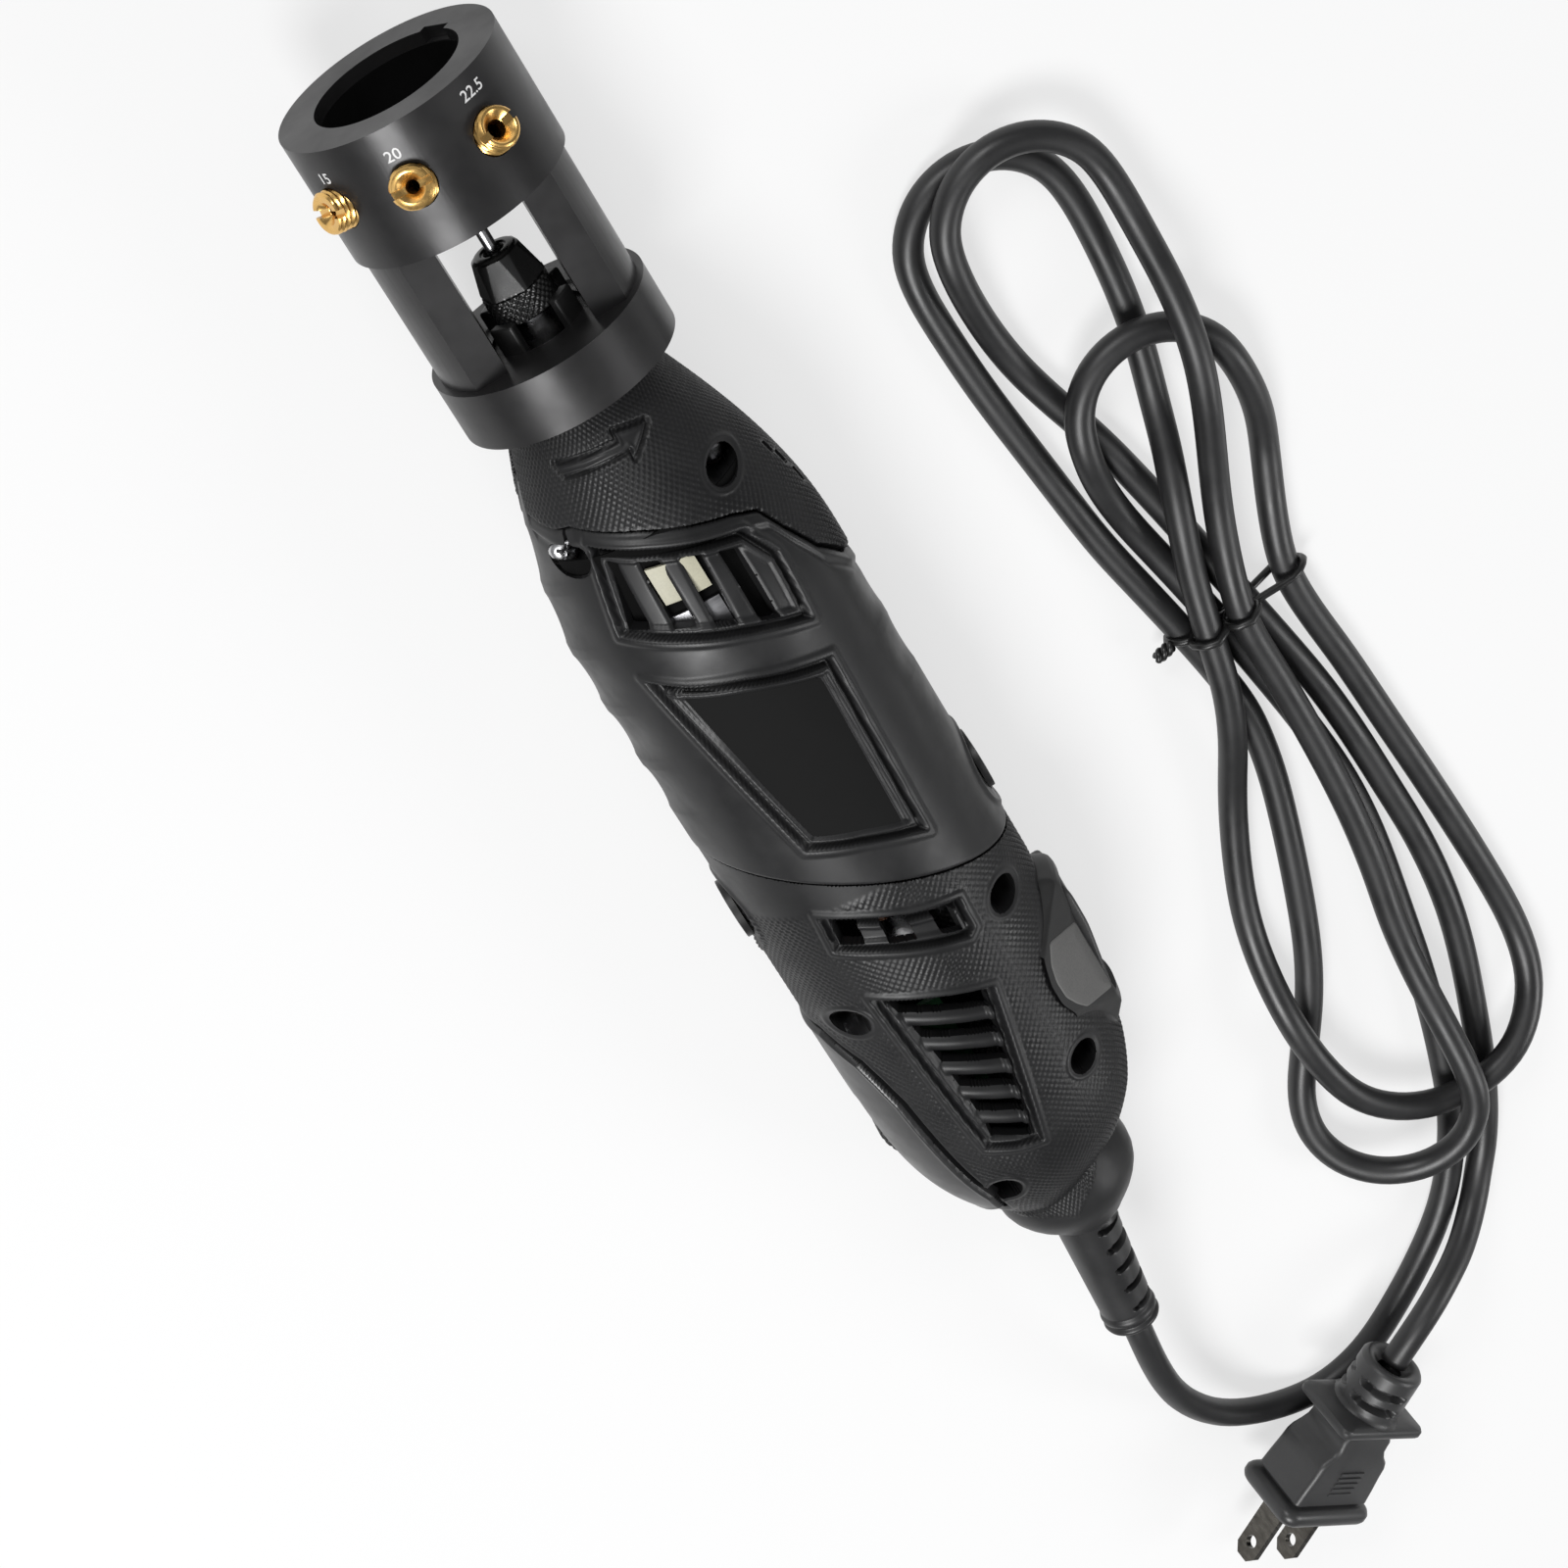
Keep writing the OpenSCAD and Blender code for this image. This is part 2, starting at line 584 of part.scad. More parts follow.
module brush_cap(side) color([0.1, 0.1, 0.1]) on_side(side) difference() {
    union() {
        translate([brush_x, cap_seat, axis_z]) rotate([-90, 0, 0])
            cylinder(h = cap_out - cap_seat, r = cap_r);
        translate([brush_x, cap_seat - 2, axis_z]) rotate([-90, 0, 0]) cylinder(h = 3, r = cap_plug_r);
    }
    translate([brush_x - far / 2, cap_out - 1.1, axis_z - 0.7]) cube([far, 3, 1.4]);
}

// ---- housing ----
module housing_outside() spun(concat([[nose_front_x, 0]], [for (x = shell_xs) [x, shell_r(x)]],
    [[tail_end_x, 0]]));

module housing_inside() spun(concat([[nose_front_x - wall, 0]],
    [for (x = shell_xs) [min(max(x, tail_end_x + wall), nose_front_x - wall), shell_r(x) - wall]],
    [[tail_end_x + wall, 0]]));

// Bulkheads, ribs and screw columns that stand inside the wall
module housing_frames() {
    pipe(front_bearing_x - bulkhead_over, front_bearing_x + bearing_w + bulkhead_over, body_r,
        bearing_d / 2 + fit);
    for (x = rib_xs) pipe(x, x + rib_len, body_r, stator_r + fit);
    pipe(rear_bearing_x - bulkhead_over, rear_bearing_x + rear_bearing_w + bulkhead_over, body_r,
        rear_bearing_d / 2 + fit);
    for (s = screw_spots) translate([s[0], s[1], 0]) cylinder(h = body_d, r = boss_r);
    translate([post_spot[0], post_spot[1], 0]) cylinder(h = board_z - play, r = 2.5);
    for (side = [-1, 1]) on_side(side) translate([brush_x, holder_out, axis_z]) rotate([-90, 0, 0])
        cylinder(h = cap_boss_len, r = cap_ring_r);
}

module cap_rings() for (side = [-1, 1]) on_side(side)
    translate([brush_x, body_r - wall, axis_z]) rotate([-90, 0, 0])
        cylinder(h = cap_ring_out - body_r + wall, r = cap_ring_r);

module slot(x, y, length, width, lean) translate([x, y, axis_z + body_r]) rotate([0, 0, lean])
    translate([-length / 2, -width / 2, -8]) cube([length, width, 16]);

// The vents of one half; the other half has the same ones, mirrored
module vents() {
    for (s = front_slots) slot(s[0], s[1], 17, 3.6, 0);
    for (s = small_slots) slot(s[0], s[1], 5, 5.5, -seam_slant + 3);
    for (i = [0:louvre_rows - 1]) slot(-52 - i * 6, 7 - i * 0.3, 3, 17 - i * 1.6, 90 - seam_slant - 60);
}

module housing_cuts() {
    // Nose opening for the threaded collar, with a pocket for its flange
    rod(nose_front_x - far / 10, nose_front_x + 1, thread_r + fit);
    rod(nose_front_x - wall - collar_flange_len - play, nose_front_x - wall, collar_flange_r + play);
    // Tail opening for the collar's neck
    rod(tail_end_x - 1, tail_end_x + wall + 1, collar_neck_r + 0.2);
    // Screw wells above their seats, and the pilot holes
    for (s = screw_spots) translate([s[0], s[1], axis_z + seat_h]) cylinder(h = far, r = well_r);
    for (s = screw_spots) translate([s[0], s[1], axis_z + seat_h - screw_len])
        cylinder(h = screw_len + 1, r = screw_r + fit);
    // Brush caps
    for (side = [-1, 1]) on_side(side) {
        translate([brush_x, body_r - 6, axis_z]) rotate([-90, 0, 0]) cylinder(h = 10, r = cap_plug_r + 0.2);
        translate([brush_x, cap_seat - 0.1, axis_z]) rotate([-90, 0, 0]) cylinder(h = 10, r = cap_r + 0.15);
    }
    // Rocker switch and control plate
    rocker_block(rocker_play, rocker_gap);
    bezel_seat(play / 3);
    difference() {
        plate_block(plate_gap);
        housing_inside();
    }
    dial_pocket();
    // Seat of the label plate
    badge_prism(body_r - badge_sink - badge_t, 0.2);
    for (flip = [0, 1]) translate([0, 0, flip * 2 * axis_z]) mirror([0, 0, flip]) vents();
    // Flat underneath
    translate([-far, -far / 2, -far]) cube([far * 2, far, far]);
}

module housing() difference() {
    union() {
        intersection() {
            union() {
                difference() {
                    housing_outside();
                    housing_inside();
                }
                housing_frames();
            }
            housing_outside();
        }
        cap_rings();
    }
    housing_cuts();
}

// upper is true for the label side
module half(upper) intersection() {
    children();
    translate([-far, -far / 2, upper ? axis_z : axis_z - far]) cube([far * 2, far, far]);
}

module nose_shell(upper) color([0.2, 0.2, 0.2]) half(upper) intersection() {
    housing();
    ahead(nose_seam_x);
}

module body_shell(upper) color([0.26, 0.26, 0.26]) half(upper) intersection() {
    housing();
    behind(nose_seam_x);
    ahead(rear_seam_x);
}

module rear_shell(upper) color([0.2, 0.2, 0.2]) half(upper) intersection() {
    housing();
    behind(rear_seam_x);
}

// Ring of the label's outline, from radius r_in outwards
module badge_prism(r_in, grow) difference() {
    translate([0, 0, axis_z]) linear_extrude(far / 4) offset(delta = grow) polygon(badge);
    rod(-far / 4, far / 4, r_in);
}

module badge_plate() color([0.13, 0.13, 0.13]) intersection() {
    difference() {
        translate([0, 0, axis_z]) linear_extrude(far / 4) polygon(badge);
        rod(-far / 4, far / 4, body_r - badge_sink - badge_t + play / 3);
    }
    rod(-far / 4, far / 4, body_r - badge_sink + play / 3);
}

module housing_screws() color([0.75, 0.75, 0.77]) for (s = screw_spots)
    translate([s[0], s[1], axis_z + seat_h]) difference() {
        union() {
            cylinder(h = screw_head_h, r = screw_head_r);
            translate([0, 0, -screw_len + 1]) cylinder(h = screw_len, r = screw_r);
        }
        for (a = [0, 90]) rotate([0, 0, a]) translate([-2, -0.35, 1.1]) cube([4, 0.7, 3]);
    }

// ---- rocker switch ----
module rocker_block(grow_x, grow_z)
    translate([rocker_x - rocker_len / 2 - grow_x, -rocker_face - 2, axis_z - rocker_h / 2 - grow_z])
        cube([rocker_len + 2 * grow_x, rocker_face + 2 - body_r + 5, rocker_h + 2 * grow_z]);

// Oval that the bezel fills, from its seat in the wall outwards
module bezel_seat(grow) difference() {
    translate([rocker_x, -body_r / 2, axis_z]) rotate([90, 0, 0]) linear_extrude(body_r)
        scale([bezel_len / 2 + grow, bezel_h / 2 + grow]) circle(r = 1, $fn = 48);
    rod(rocker_x - bezel_len, rocker_x + bezel_len, bezel_seat_r - grow);
}

// Raised bezel with one facet above the rocker and one below it
module switch_bezel() color([0.24, 0.24, 0.24]) difference() {
    intersection() {
        bezel_seat(0);
        translate([rocker_x - bezel_len, 0, axis_z]) rotate([90, 0, 90]) linear_extrude(bezel_len * 2)
            polygon([[0, bezel_edge_z + bezel_edge_y * bezel_slope], [-bezel_edge_y, bezel_edge_z],
                [-rocker_face + 0.6, 4], [-rocker_face + 0.6, -4], [-bezel_edge_y, -bezel_edge_z],
                [0, -bezel_edge_z - bezel_edge_y * bezel_slope]]);
        translate([rocker_x, 0, 0]) linear_extrude(body_d + 10)
            polygon([[-bezel_len, 0], [-bezel_len / 2, -body_r - 1], [-bezel_len / 4, -rocker_face + 0.9],
                [bezel_len / 8, -rocker_face + 0.4], [bezel_len / 3, -rocker_face + 0.9],
                [bezel_len / 2, -body_r - 2.4], [bezel_len, 0]]);
    }
    rocker_block(rocker_play, rocker_gap);
}

module switch_rocker() color([0.22, 0.22, 0.22]) {
    intersection() {
        rocker_block(0, 0);
        // Two facets that meet ahead of the middle
        translate([rocker_x, 0, 0]) linear_extrude(body_d + 10)
            polygon([[-20, -rocker_in], [20, -rocker_in], [20, -rocker_face + 2.4], [8, -rocker_face],
                [3, -rocker_face], [-20, -rocker_face + 2.9]]);
    }
    translate([rocker_x - 3, -rocker_in - 0.5, axis_z - 5]) cube([6, rocker_in - pivot_y + 0.5, 10]);
    translate([rocker_x, -pivot_y, axis_z - 8]) cylinder(h = 16, r = pivot_r);
}

module switch_body() color([0.1, 0.1, 0.1]) difference() {
    translate([rocker_x - switch_len / 2, -pivot_y - 2.2, axis_z - switch_h / 2])
        cube([switch_len, 12, switch_h]);
    translate([rocker_x - switch_len, -pivot_y - 3, axis_z - 5.5]) cube([switch_len * 2, 6.5, 11]);
    translate([rocker_x, -pivot_y, axis_z - 8.3]) cylinder(h = 16.6, r = pivot_r + fit);
    // Corners cut back to clear the curved wall
    difference() {
        translate([rocker_x - switch_len, -body_r, axis_z - switch_h])
            cube([switch_len * 2, 12, switch_h * 2]);
        rod(rocker_x - switch_len * 2, rocker_x + switch_len * 2, shell_r(rocker_x) - wall - 0.5);
    }
}

// ---- speed dial ----
module speed_dial() color([0.25, 0.25, 0.25]) translate([dial_x, dial_y, axis_z - dial_t / 2])
    difference() {
    cylinder(h = dial_t, r = dial_r);
    translate([0, 0, -1]) cylinder(h = dial_t + 2, r = dial_shaft_r + fit);
    for (a = [0:12:348]) rotate([0, 0, a]) translate([dial_r, 0, -1])
        cylinder(h = dial_t + 2, r = 0.5, $fn = 13);
}

// Room for the dial in the plate and in the housing's columns
module dial_pocket() translate([dial_x, dial_y, axis_z - dial_t / 2 - dial_gap])
    cylinder(h = dial_t + 2 * dial_gap, r = dial_r + dial_gap);

module dial_board() color([0.15, 0.3, 0.2]) {
    translate([dial_x - 9, 3, board_z]) cube([24, 16, board_t]);
    translate([dial_x, dial_y, board_z + board_t])
        cylinder(h = axis_z - dial_t / 2 - play - board_z - board_t, r = 4.5);
    translate([dial_x, dial_y, board_z])
        cylinder(h = axis_z + dial_t / 2 + dial_gap - board_z, r = dial_shaft_r);
}

module plate_block(grow) translate([0, body_r + 7, axis_z]) rotate([90, 0, 0]) linear_extrude(body_r)
    offset(delta = grow) for (flip = [0, 1]) mirror([0, flip])
        polygon(concat([plate_first], plate_half, [plate_last]));

module control_plate() color([0.3, 0.3, 0.3]) difference() {
    intersection() {
        difference() {
            housing_outside();
            housing_inside();
        }
        plate_block(0);
    }
    translate([dial_x - dial_r - dial_gap, 0, axis_z - dial_t / 2 - dial_gap])
        cube([dial_d + 2 * dial_gap, far, dial_t + 2 * dial_gap]);
}

// ---- tail ----
module tail_collar() color([0.28, 0.28, 0.28]) difference() {
    spun([[tail_end_x + collar_lip_len, 0], [tail_end_x + collar_lip_len, collar_lip_r],
        [tail_end_x + wall + 1.3, collar_lip_r], [tail_end_x + wall + 1.3, collar_neck_r],
        [tail_end_x - play, collar_neck_r], [tail_end_x - play, tail_r + 0.3], [tail_end_x - 2, tail_r + 1],
        [tail_end_x - 6, tail_r + 0.6], [tail_end_x - 10, 12.8], [tail_end_x - 14, 10],
        [collar_end_x, collar_end_r], [collar_end_x, 0]]);
    rod(collar_end_x - 1, tail_end_x + collar_lip_len + 1, relief_hole_r);
}

module strain_relief() color([0.16, 0.16, 0.16]) {
    rod(collar_end_x - relief_gap - 1, tail_end_x + 4, relief_neck_r);
    tip = lead_points[0];
    translate(tip) rotate([0, 90 - relief_dip, -relief_lean_y]) {
        cylinder(h = relief_len - relief_gap, r1 = relief_r1, r2 = relief_r0);
        for (z = [0, 3]) translate([0, 0, z]) cylinder(h = 1.8, r = relief_r0 + relief_ring);
        translate([0, 0, relief_len - 4]) cylinder(h = 3, r = relief_r0 + relief_ring / 2);
    }
}

// ---- cord, tie and plug ----
module cord_lead() color([0.14, 0.14, 0.14]) tube(smooth(lead_points, 1), cord_r, 8);

hank_path = smooth(hank_points, 2);

module cord_hank() color([0.14, 0.14, 0.14]) tube(hank_path, cord_r, 6);

module cord_end() color([0.14, 0.14, 0.14]) tube(smooth(end_points, 2), cord_r, 8);

// Least clear gap of the hank to itself, between stretches that aren't neighbours
hank_gap = min([for (i = [0:len(hank_path) - 1], j = [i + 5:1:len(hank_path) - 1])
    norm(hank_path[i] - hank_path[j])]) - cord_d;
echo("least gap of the hank to itself, mm", hank_gap);

module tie_outline() hull() for (p = [[-76.9, 3.9], [-80.1, 10.2], [-87.5, 10.2], [-100.4, 3.9]])
    translate(p) circle(r = cord_r + 0.25, $fn = 24);

module twist_tie() color([0.05, 0.05, 0.05]) {
    translate([tie_x - tie_w / 2, 0, 0]) rotate([90, 0, 90]) linear_extrude(tie_w) difference() {
        offset(delta = tie_t) tie_outline();
        tie_outline();
        translate([-far, -far]) square([far * 2, far]);
    }
    for (flip = [-1, 1]) translate([tie_x, -76.9 + cord_r + 0.3, 6]) rotate([-70 + flip * 16, flip * 10, 0])
        translate([flip * 0.5, 0, 0]) cylinder(h = 8, r = 0.8, $fn = 16);
}

module plug_frame() translate(plug_at) rotate([plug_roll, plug_dip, plug_yaw]) children();

// Slab across the plug's axis that reaches back from x, with its corners rounded by r
module plug_slab(x, thick, in_y, in_z, r) hull() for (y = [-1, 1], z = [-1, 1])
    translate([x - thick, y * (flange_w / 2 - in_y - r), z * (flange_h / 2 - in_z - r)])
        rotate([0, 90, 0]) cylinder(h = thick, r = r, $fn = 24);

module plug_body() color([0.15, 0.15, 0.15]) plug_frame() {
    plug_slab(0, flange_t, 0, 0, flange_round);
    for (i = [0:len(grip_steps) - 2]) hull() for (g = [grip_steps[i], grip_steps[i + 1]])
        plug_slab(-grip_len * g[0] + eps, eps, g[1], g[2], 1);
    plug_slab(-grip_len, shoulder_t, shoulder_in, shoulder_in, shoulder_round);
    translate([-grip_len - shoulder_t - neck_len, 0, 0]) rotate([0, 90, 0])
        cylinder(h = neck_len + eps, r1 = neck_r - 0.4, r2 = neck_r);
}

module plug_blades() color([0.6, 0.57, 0.5]) plug_frame() for (flip = [-1, 1]) difference() {
    translate([0, -blade_w / 2, flip * blade_gap / 2 - blade_t / 2]) linear_extrude(blade_t)
        polygon([[0, 0], [blade_len - 2, 0], [blade_len, 1.6], [blade_len, blade_w - 1.6],
            [blade_len - 2, blade_w], [0, blade_w]]);
    translate([blade_len - blade_hole_in, 0, flip * blade_gap / 2 - 2]) cylinder(h = 4, r = blade_hole_r);
}

// ---- nodes ----
head_sleeve();
head_web(1);  // head_web_left
head_web(-1);  // head_web_right
head_disc();
guide(-1, tilt_left, bore_left);  // guide_left
guide(0, tilt_mid, bore_mid);  // guide_middle
guide(1, tilt_right, bore_right);  // guide_right
grinding_wheel();
mandrel();
mandrel_screw();
collet_nut();
collet();
spindle();
nose_collar();
bearing(front_bearing_x, bearing_w, bearing_d / 2, spindle_r);  // front_bearing
bearing(rear_bearing_x, rear_bearing_w, rear_bearing_d / 2, rear_shaft_d / 2);  // rear_bearing
armature_core();
armature_winding();
commutator();
cooling_fan();
stator_core();
field_coils();
brush_holder(1);  // brush_holder_left
brush_holder(-1);  // brush_holder_right
brush(1);  // brush_left
brush(-1);  // brush_right
brush_spring(1);  // brush_spring_left
brush_spring(-1);  // brush_spring_right
brush_cap(1);  // brush_cap_left
brush_cap(-1);  // brush_cap_right
nose_shell(true);  // nose_shell_upper
nose_shell(false);  // nose_shell_lower
body_shell(true);  // body_shell_upper
body_shell(false);  // body_shell_lower
rear_shell(true);  // rear_shell_upper
rear_shell(false);  // rear_shell_lower
badge_plate();
housing_screws();
switch_bezel();
switch_rocker();
switch_body();
speed_dial();
dial_board();
control_plate();
tail_collar();
strain_relief();
cord_lead();
cord_hank();
cord_end();
twist_tie();
plug_body();
plug_blades();
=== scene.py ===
"""Looks of a corded rotary tool with an electrode sharpening head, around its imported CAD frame.

Lengths are in millimetres in this script and are scaled to metres where a mesh is made.
+X runs along the tool to the head's open end, +Z is up, and the tool's axis is at z = AXIS.
"""
import math
from collections import namedtuple

import bmesh
import bpy
import numpy as np
from mathutils import Matrix, Vector


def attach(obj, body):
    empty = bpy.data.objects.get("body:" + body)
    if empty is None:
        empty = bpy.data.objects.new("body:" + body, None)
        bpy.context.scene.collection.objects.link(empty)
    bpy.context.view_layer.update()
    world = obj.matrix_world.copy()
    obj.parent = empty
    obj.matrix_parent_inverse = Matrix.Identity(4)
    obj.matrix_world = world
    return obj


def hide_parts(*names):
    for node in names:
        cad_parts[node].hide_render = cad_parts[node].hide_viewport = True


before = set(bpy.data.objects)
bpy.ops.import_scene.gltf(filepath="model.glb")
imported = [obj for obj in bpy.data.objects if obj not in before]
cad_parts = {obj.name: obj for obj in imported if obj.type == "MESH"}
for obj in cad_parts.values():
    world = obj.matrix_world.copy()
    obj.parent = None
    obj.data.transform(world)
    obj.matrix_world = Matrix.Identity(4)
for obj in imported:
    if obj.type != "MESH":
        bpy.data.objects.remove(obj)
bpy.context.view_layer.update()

MM = 0.001
AXIS = 26.7
CORD_R = 3.0
TAU = 2 * math.pi


def linked(name, data):
    """A new object in the scene."""
    ob = bpy.data.objects.new(name, data)
    bpy.context.scene.collection.objects.link(ob)
    return ob


# ---------------------------------------------------------------- camera
CAMERA_AT = (402.1, 0.0, 740.1)
CAMERA_UP = (0.7364, -0.5275, -0.4236)
CAMERA_FORWARD = (-0.4943, 0.008, -0.8693)
CAMERA_LENS = 98.8
SENSOR_WIDTH = 36.0


def make_camera():
    data = bpy.data.cameras.new("camera")
    data.lens, data.sensor_width, data.sensor_fit = CAMERA_LENS, SENSOR_WIDTH, "HORIZONTAL"
    data.clip_start, data.clip_end = 0.01, 20.0
    camera = linked("camera", data)
    forward = Vector(CAMERA_FORWARD).normalized()
    up = (Vector(CAMERA_UP) - forward * Vector(CAMERA_UP).dot(forward)).normalized()
    right = forward.cross(up)
    turn = Matrix((right, up, -forward)).transposed().to_4x4()
    camera.matrix_world = Matrix.Translation(Vector(CAMERA_AT) * MM) @ turn
    bpy.context.scene.camera = camera


make_camera()


# ---------------------------------------------------------------- materials
def new_material(name):
    material = bpy.data.materials.new(name)
    material.use_nodes = True
    tree = material.node_tree
    return material, tree, tree.nodes["Principled BSDF"]


def node(tree, kind, **values):
    made = tree.nodes.new(kind)
    for key, value in values.items():
        if hasattr(made, key):
            setattr(made, key, value)
        else:
            made.inputs[key.replace("_", " ")].default_value = value
    return made


def noise(tree, coords, scale, detail=3.0):
    made = node(tree, "ShaderNodeTexNoise", Scale=scale, Detail=detail, Roughness=0.6)
    tree.links.new(coords, made.inputs["Vector"])
    return made


def ramp(tree, source, low, high, at=(0.3, 0.7)):
    made = node(tree, "ShaderNodeValToRGB")
    for stop, place, value in zip(made.color_ramp.elements, at, (low, high)):
        stop.position = place
        stop.color = (*value, 1) if hasattr(value, "__len__") else (value, value, value, 1)
    tree.links.new(source, made.inputs["Fac"])
    return made


GLOSS_SWING = 0.08
SPECK_TONE, SPECK_AT = 0.55, (0.35, 0.6)


def surface(name, color, rough, metallic=0.0, tone=0.25, grain=0.3, grain_mm=0.35, cloud_mm=9.0,
            bump_mm=0.02, specular=0.5, stretch=(1, 1, 1)):
    """A finish with a soft cloud of tone, a fine grain in relief and an uneven gloss."""
    material, tree, shader = new_material(name)
    link = tree.links.new
    place = node(tree, "ShaderNodeTexCoord").outputs["Object"]
    if stretch != (1, 1, 1):
        scaled = node(tree, "ShaderNodeMapping", Scale=stretch)
        link(place, scaled.inputs["Vector"])
        place = scaled.outputs["Vector"]
    cloud = noise(tree, place, 1000 / cloud_mm).outputs["Fac"]
    fine = noise(tree, place, 1000 / grain_mm, 4.0).outputs["Fac"]
    dark = [c * (1 - tone) for c in color]
    light = [min(1.0, c * (1 + tone)) for c in color]
    mixed = node(tree, "ShaderNodeMix", data_type="RGBA", blend_type="MULTIPLY")
    mixed.inputs["Factor"].default_value = grain
    link(ramp(tree, cloud, dark, light).outputs["Color"], mixed.inputs["A"])
    link(ramp(tree, fine, SPECK_TONE, 1.0, SPECK_AT).outputs["Color"], mixed.inputs["B"])
    link(mixed.outputs["Result"], shader.inputs["Base Color"])
    gloss = ramp(tree, cloud, max(0.02, rough - GLOSS_SWING), min(1.0, rough + GLOSS_SWING))
    link(gloss.outputs["Color"], shader.inputs["Roughness"])
    bump = node(tree, "ShaderNodeBump", Distance=bump_mm * MM, Strength=1.0)
    link(fine, bump.inputs["Height"])
    link(bump.outputs["Normal"], shader.inputs["Normal"])
    shader.inputs["Metallic"].default_value = metallic
    shader.inputs["Specular IOR Level"].default_value = specular
    return material


GRIP = surface("grip_plastic", (0.0085, 0.0085, 0.009), 0.44, tone=0.12, grain=0.3, bump_mm=0.01,
               specular=0.36)
SMOOTH = surface("smooth_plastic", (0.0105, 0.0105, 0.011), 0.42, tone=0.1, grain=0.2, grain_mm=0.25,
                 bump_mm=0.005, specular=0.36)
COLLAR = surface("collar_plastic", (0.0125, 0.0125, 0.013), 0.46, tone=0.1, grain=0.2, bump_mm=0.006,
                 specular=0.36)
BADGE = surface("badge_plain", (0.0115, 0.0115, 0.0115), 0.75, tone=0.05, grain=0.08, bump_mm=0.002,
                specular=0.03)
# Painted shade: a near-black matt finish for sheets put where there is only shadow, in the bore and behind
# the front slots.
PAINTED_SHADE = surface("painted_shade_black", (0.0035, 0.0035, 0.0035), 0.8, tone=0.3, bump_mm=0.01, specular=0.06)
ANODISED = surface("black_anodised", (0.022, 0.0215, 0.022), 0.36, metallic=0.4, tone=0.08, grain=0.2,
                   grain_mm=0.16, cloud_mm=14, bump_mm=0.006, specular=0.45)
BRASS = surface("turned_brass", (0.80, 0.50, 0.17), 0.28, metallic=1.0, tone=0.12, grain=0.15,
                grain_mm=0.3, cloud_mm=2.5, bump_mm=0.002)
STEEL = surface("bright_steel", (0.62, 0.62, 0.63), 0.27, metallic=1.0, tone=0.1, grain=0.3, grain_mm=0.3,
                cloud_mm=4, bump_mm=0.005)
NUT_BLACK = surface("blackened_nut", (0.022, 0.022, 0.022), 0.26, metallic=0.35, tone=0.2, grain=0.2,
                    bump_mm=0.004, specular=0.7)
NYLON = surface("black_nylon", (0.014, 0.014, 0.014), 0.42, tone=0.2, bump_mm=0.01)
CORE = surface("laminated_steel", (0.30, 0.30, 0.31), 0.4, metallic=1.0, tone=0.15, grain=0.5,
               grain_mm=0.5, bump_mm=0.03, stretch=(6, 0.2, 0.2))
COPPER = surface("enamelled_copper", (0.52, 0.19, 0.07), 0.35, metallic=0.9, tone=0.2, grain=0.5,
                 grain_mm=0.5, bump_mm=0.05, stretch=(4, 0.4, 0.4))
CARBON = surface("brush_carbon", (0.02, 0.02, 0.021), 0.6, tone=0.3, bump_mm=0.02)
GRIT = surface("diamond_grit", (0.28, 0.27, 0.23), 0.55, metallic=0.6, tone=0.25, grain=0.8, grain_mm=0.18,
               bump_mm=0.06)
BOARD = surface("circuit_board", (0.02, 0.10, 0.035), 0.4, tone=0.2, cloud_mm=3, bump_mm=0.01)
CORD = surface("cord_sheath", (0.014, 0.014, 0.0145), 0.42, tone=0.15, grain=0.25, grain_mm=0.5,
               cloud_mm=12, bump_mm=0.012)
PLUG = surface("plug_vinyl", (0.028, 0.028, 0.0285), 0.42, tone=0.12, grain=0.2, grain_mm=0.4,
               bump_mm=0.008)
TIE = surface("tie_plastic", (0.008, 0.008, 0.008), 0.35, tone=0.2, bump_mm=0.01)
BLADE = surface("plated_blade", (0.10, 0.094, 0.084), 0.24, metallic=1.0, tone=0.35, grain=0.3, cloud_mm=3,
                bump_mm=0.004, stretch=(1, 3, 1))
IVORY = surface("ivory_plastic", (0.40, 0.385, 0.29), 0.5, tone=0.08, grain=0.2, bump_mm=0.01)
# Painted highlight: the bezel's wing facets are the bezel's black plastic, coloured light grey here to stand
# in for the light they catch.
FACET_PAINTED_LIGHT = surface("facet_painted_highlight", (0.125, 0.124, 0.121), 0.62, tone=0.08, grain=0.4, grain_mm=0.3,
                bump_mm=0.012, specular=0.3)
PLATE_BLACK = surface("plate_plastic", (0.014, 0.014, 0.0145), 0.36, tone=0.1, grain=0.15, bump_mm=0.004)
BEZEL_GREY = surface("bezel_plastic", (0.014, 0.014, 0.014), 0.5, tone=0.1, grain=0.3, bump_mm=0.01,
                     specular=0.4)
ROCKER_GREY = surface("rocker_plastic", (0.022, 0.022, 0.022), 0.45, tone=0.1, grain=0.3, bump_mm=0.01)
PRINT = surface("pale_print", (0.62, 0.62, 0.62), 0.5, tone=0.08, grain=0.2, bump_mm=0.002)

NODE_FINISH = (
    (STEEL, ("mandrel", "mandrel_screw", "collet", "spindle", "front_bearing", "rear_bearing",
             "brush_spring_left", "brush_spring_right")),
    (GRIT, ("grinding_wheel",)), (NYLON, ("cooling_fan", "switch_body")), (BLADE, ("plug_blades",)),
    (CORE, ("armature_core", "stator_core")), (COPPER, ("armature_winding", "commutator", "field_coils")),
    (BOARD, ("dial_board",)), (CARBON, ("brush_left", "brush_right")),
    (BRASS, ("brush_holder_left", "brush_holder_right")))
for finish, names in NODE_FINISH:
    for name in names:
        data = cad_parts[name].data
        data.materials.clear()
        data.materials.append(finish)


# ---------------------------------------------------------------- mesh helpers
def add(name, mesh, material, slot, body="tool", replaces=()):
    """A finished piece in the scene, riding on its body."""
    ob = linked(name, mesh)
    mesh.materials.append(material)
    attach(ob, body)
    if replaces:
        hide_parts(*replaces)
    return ob


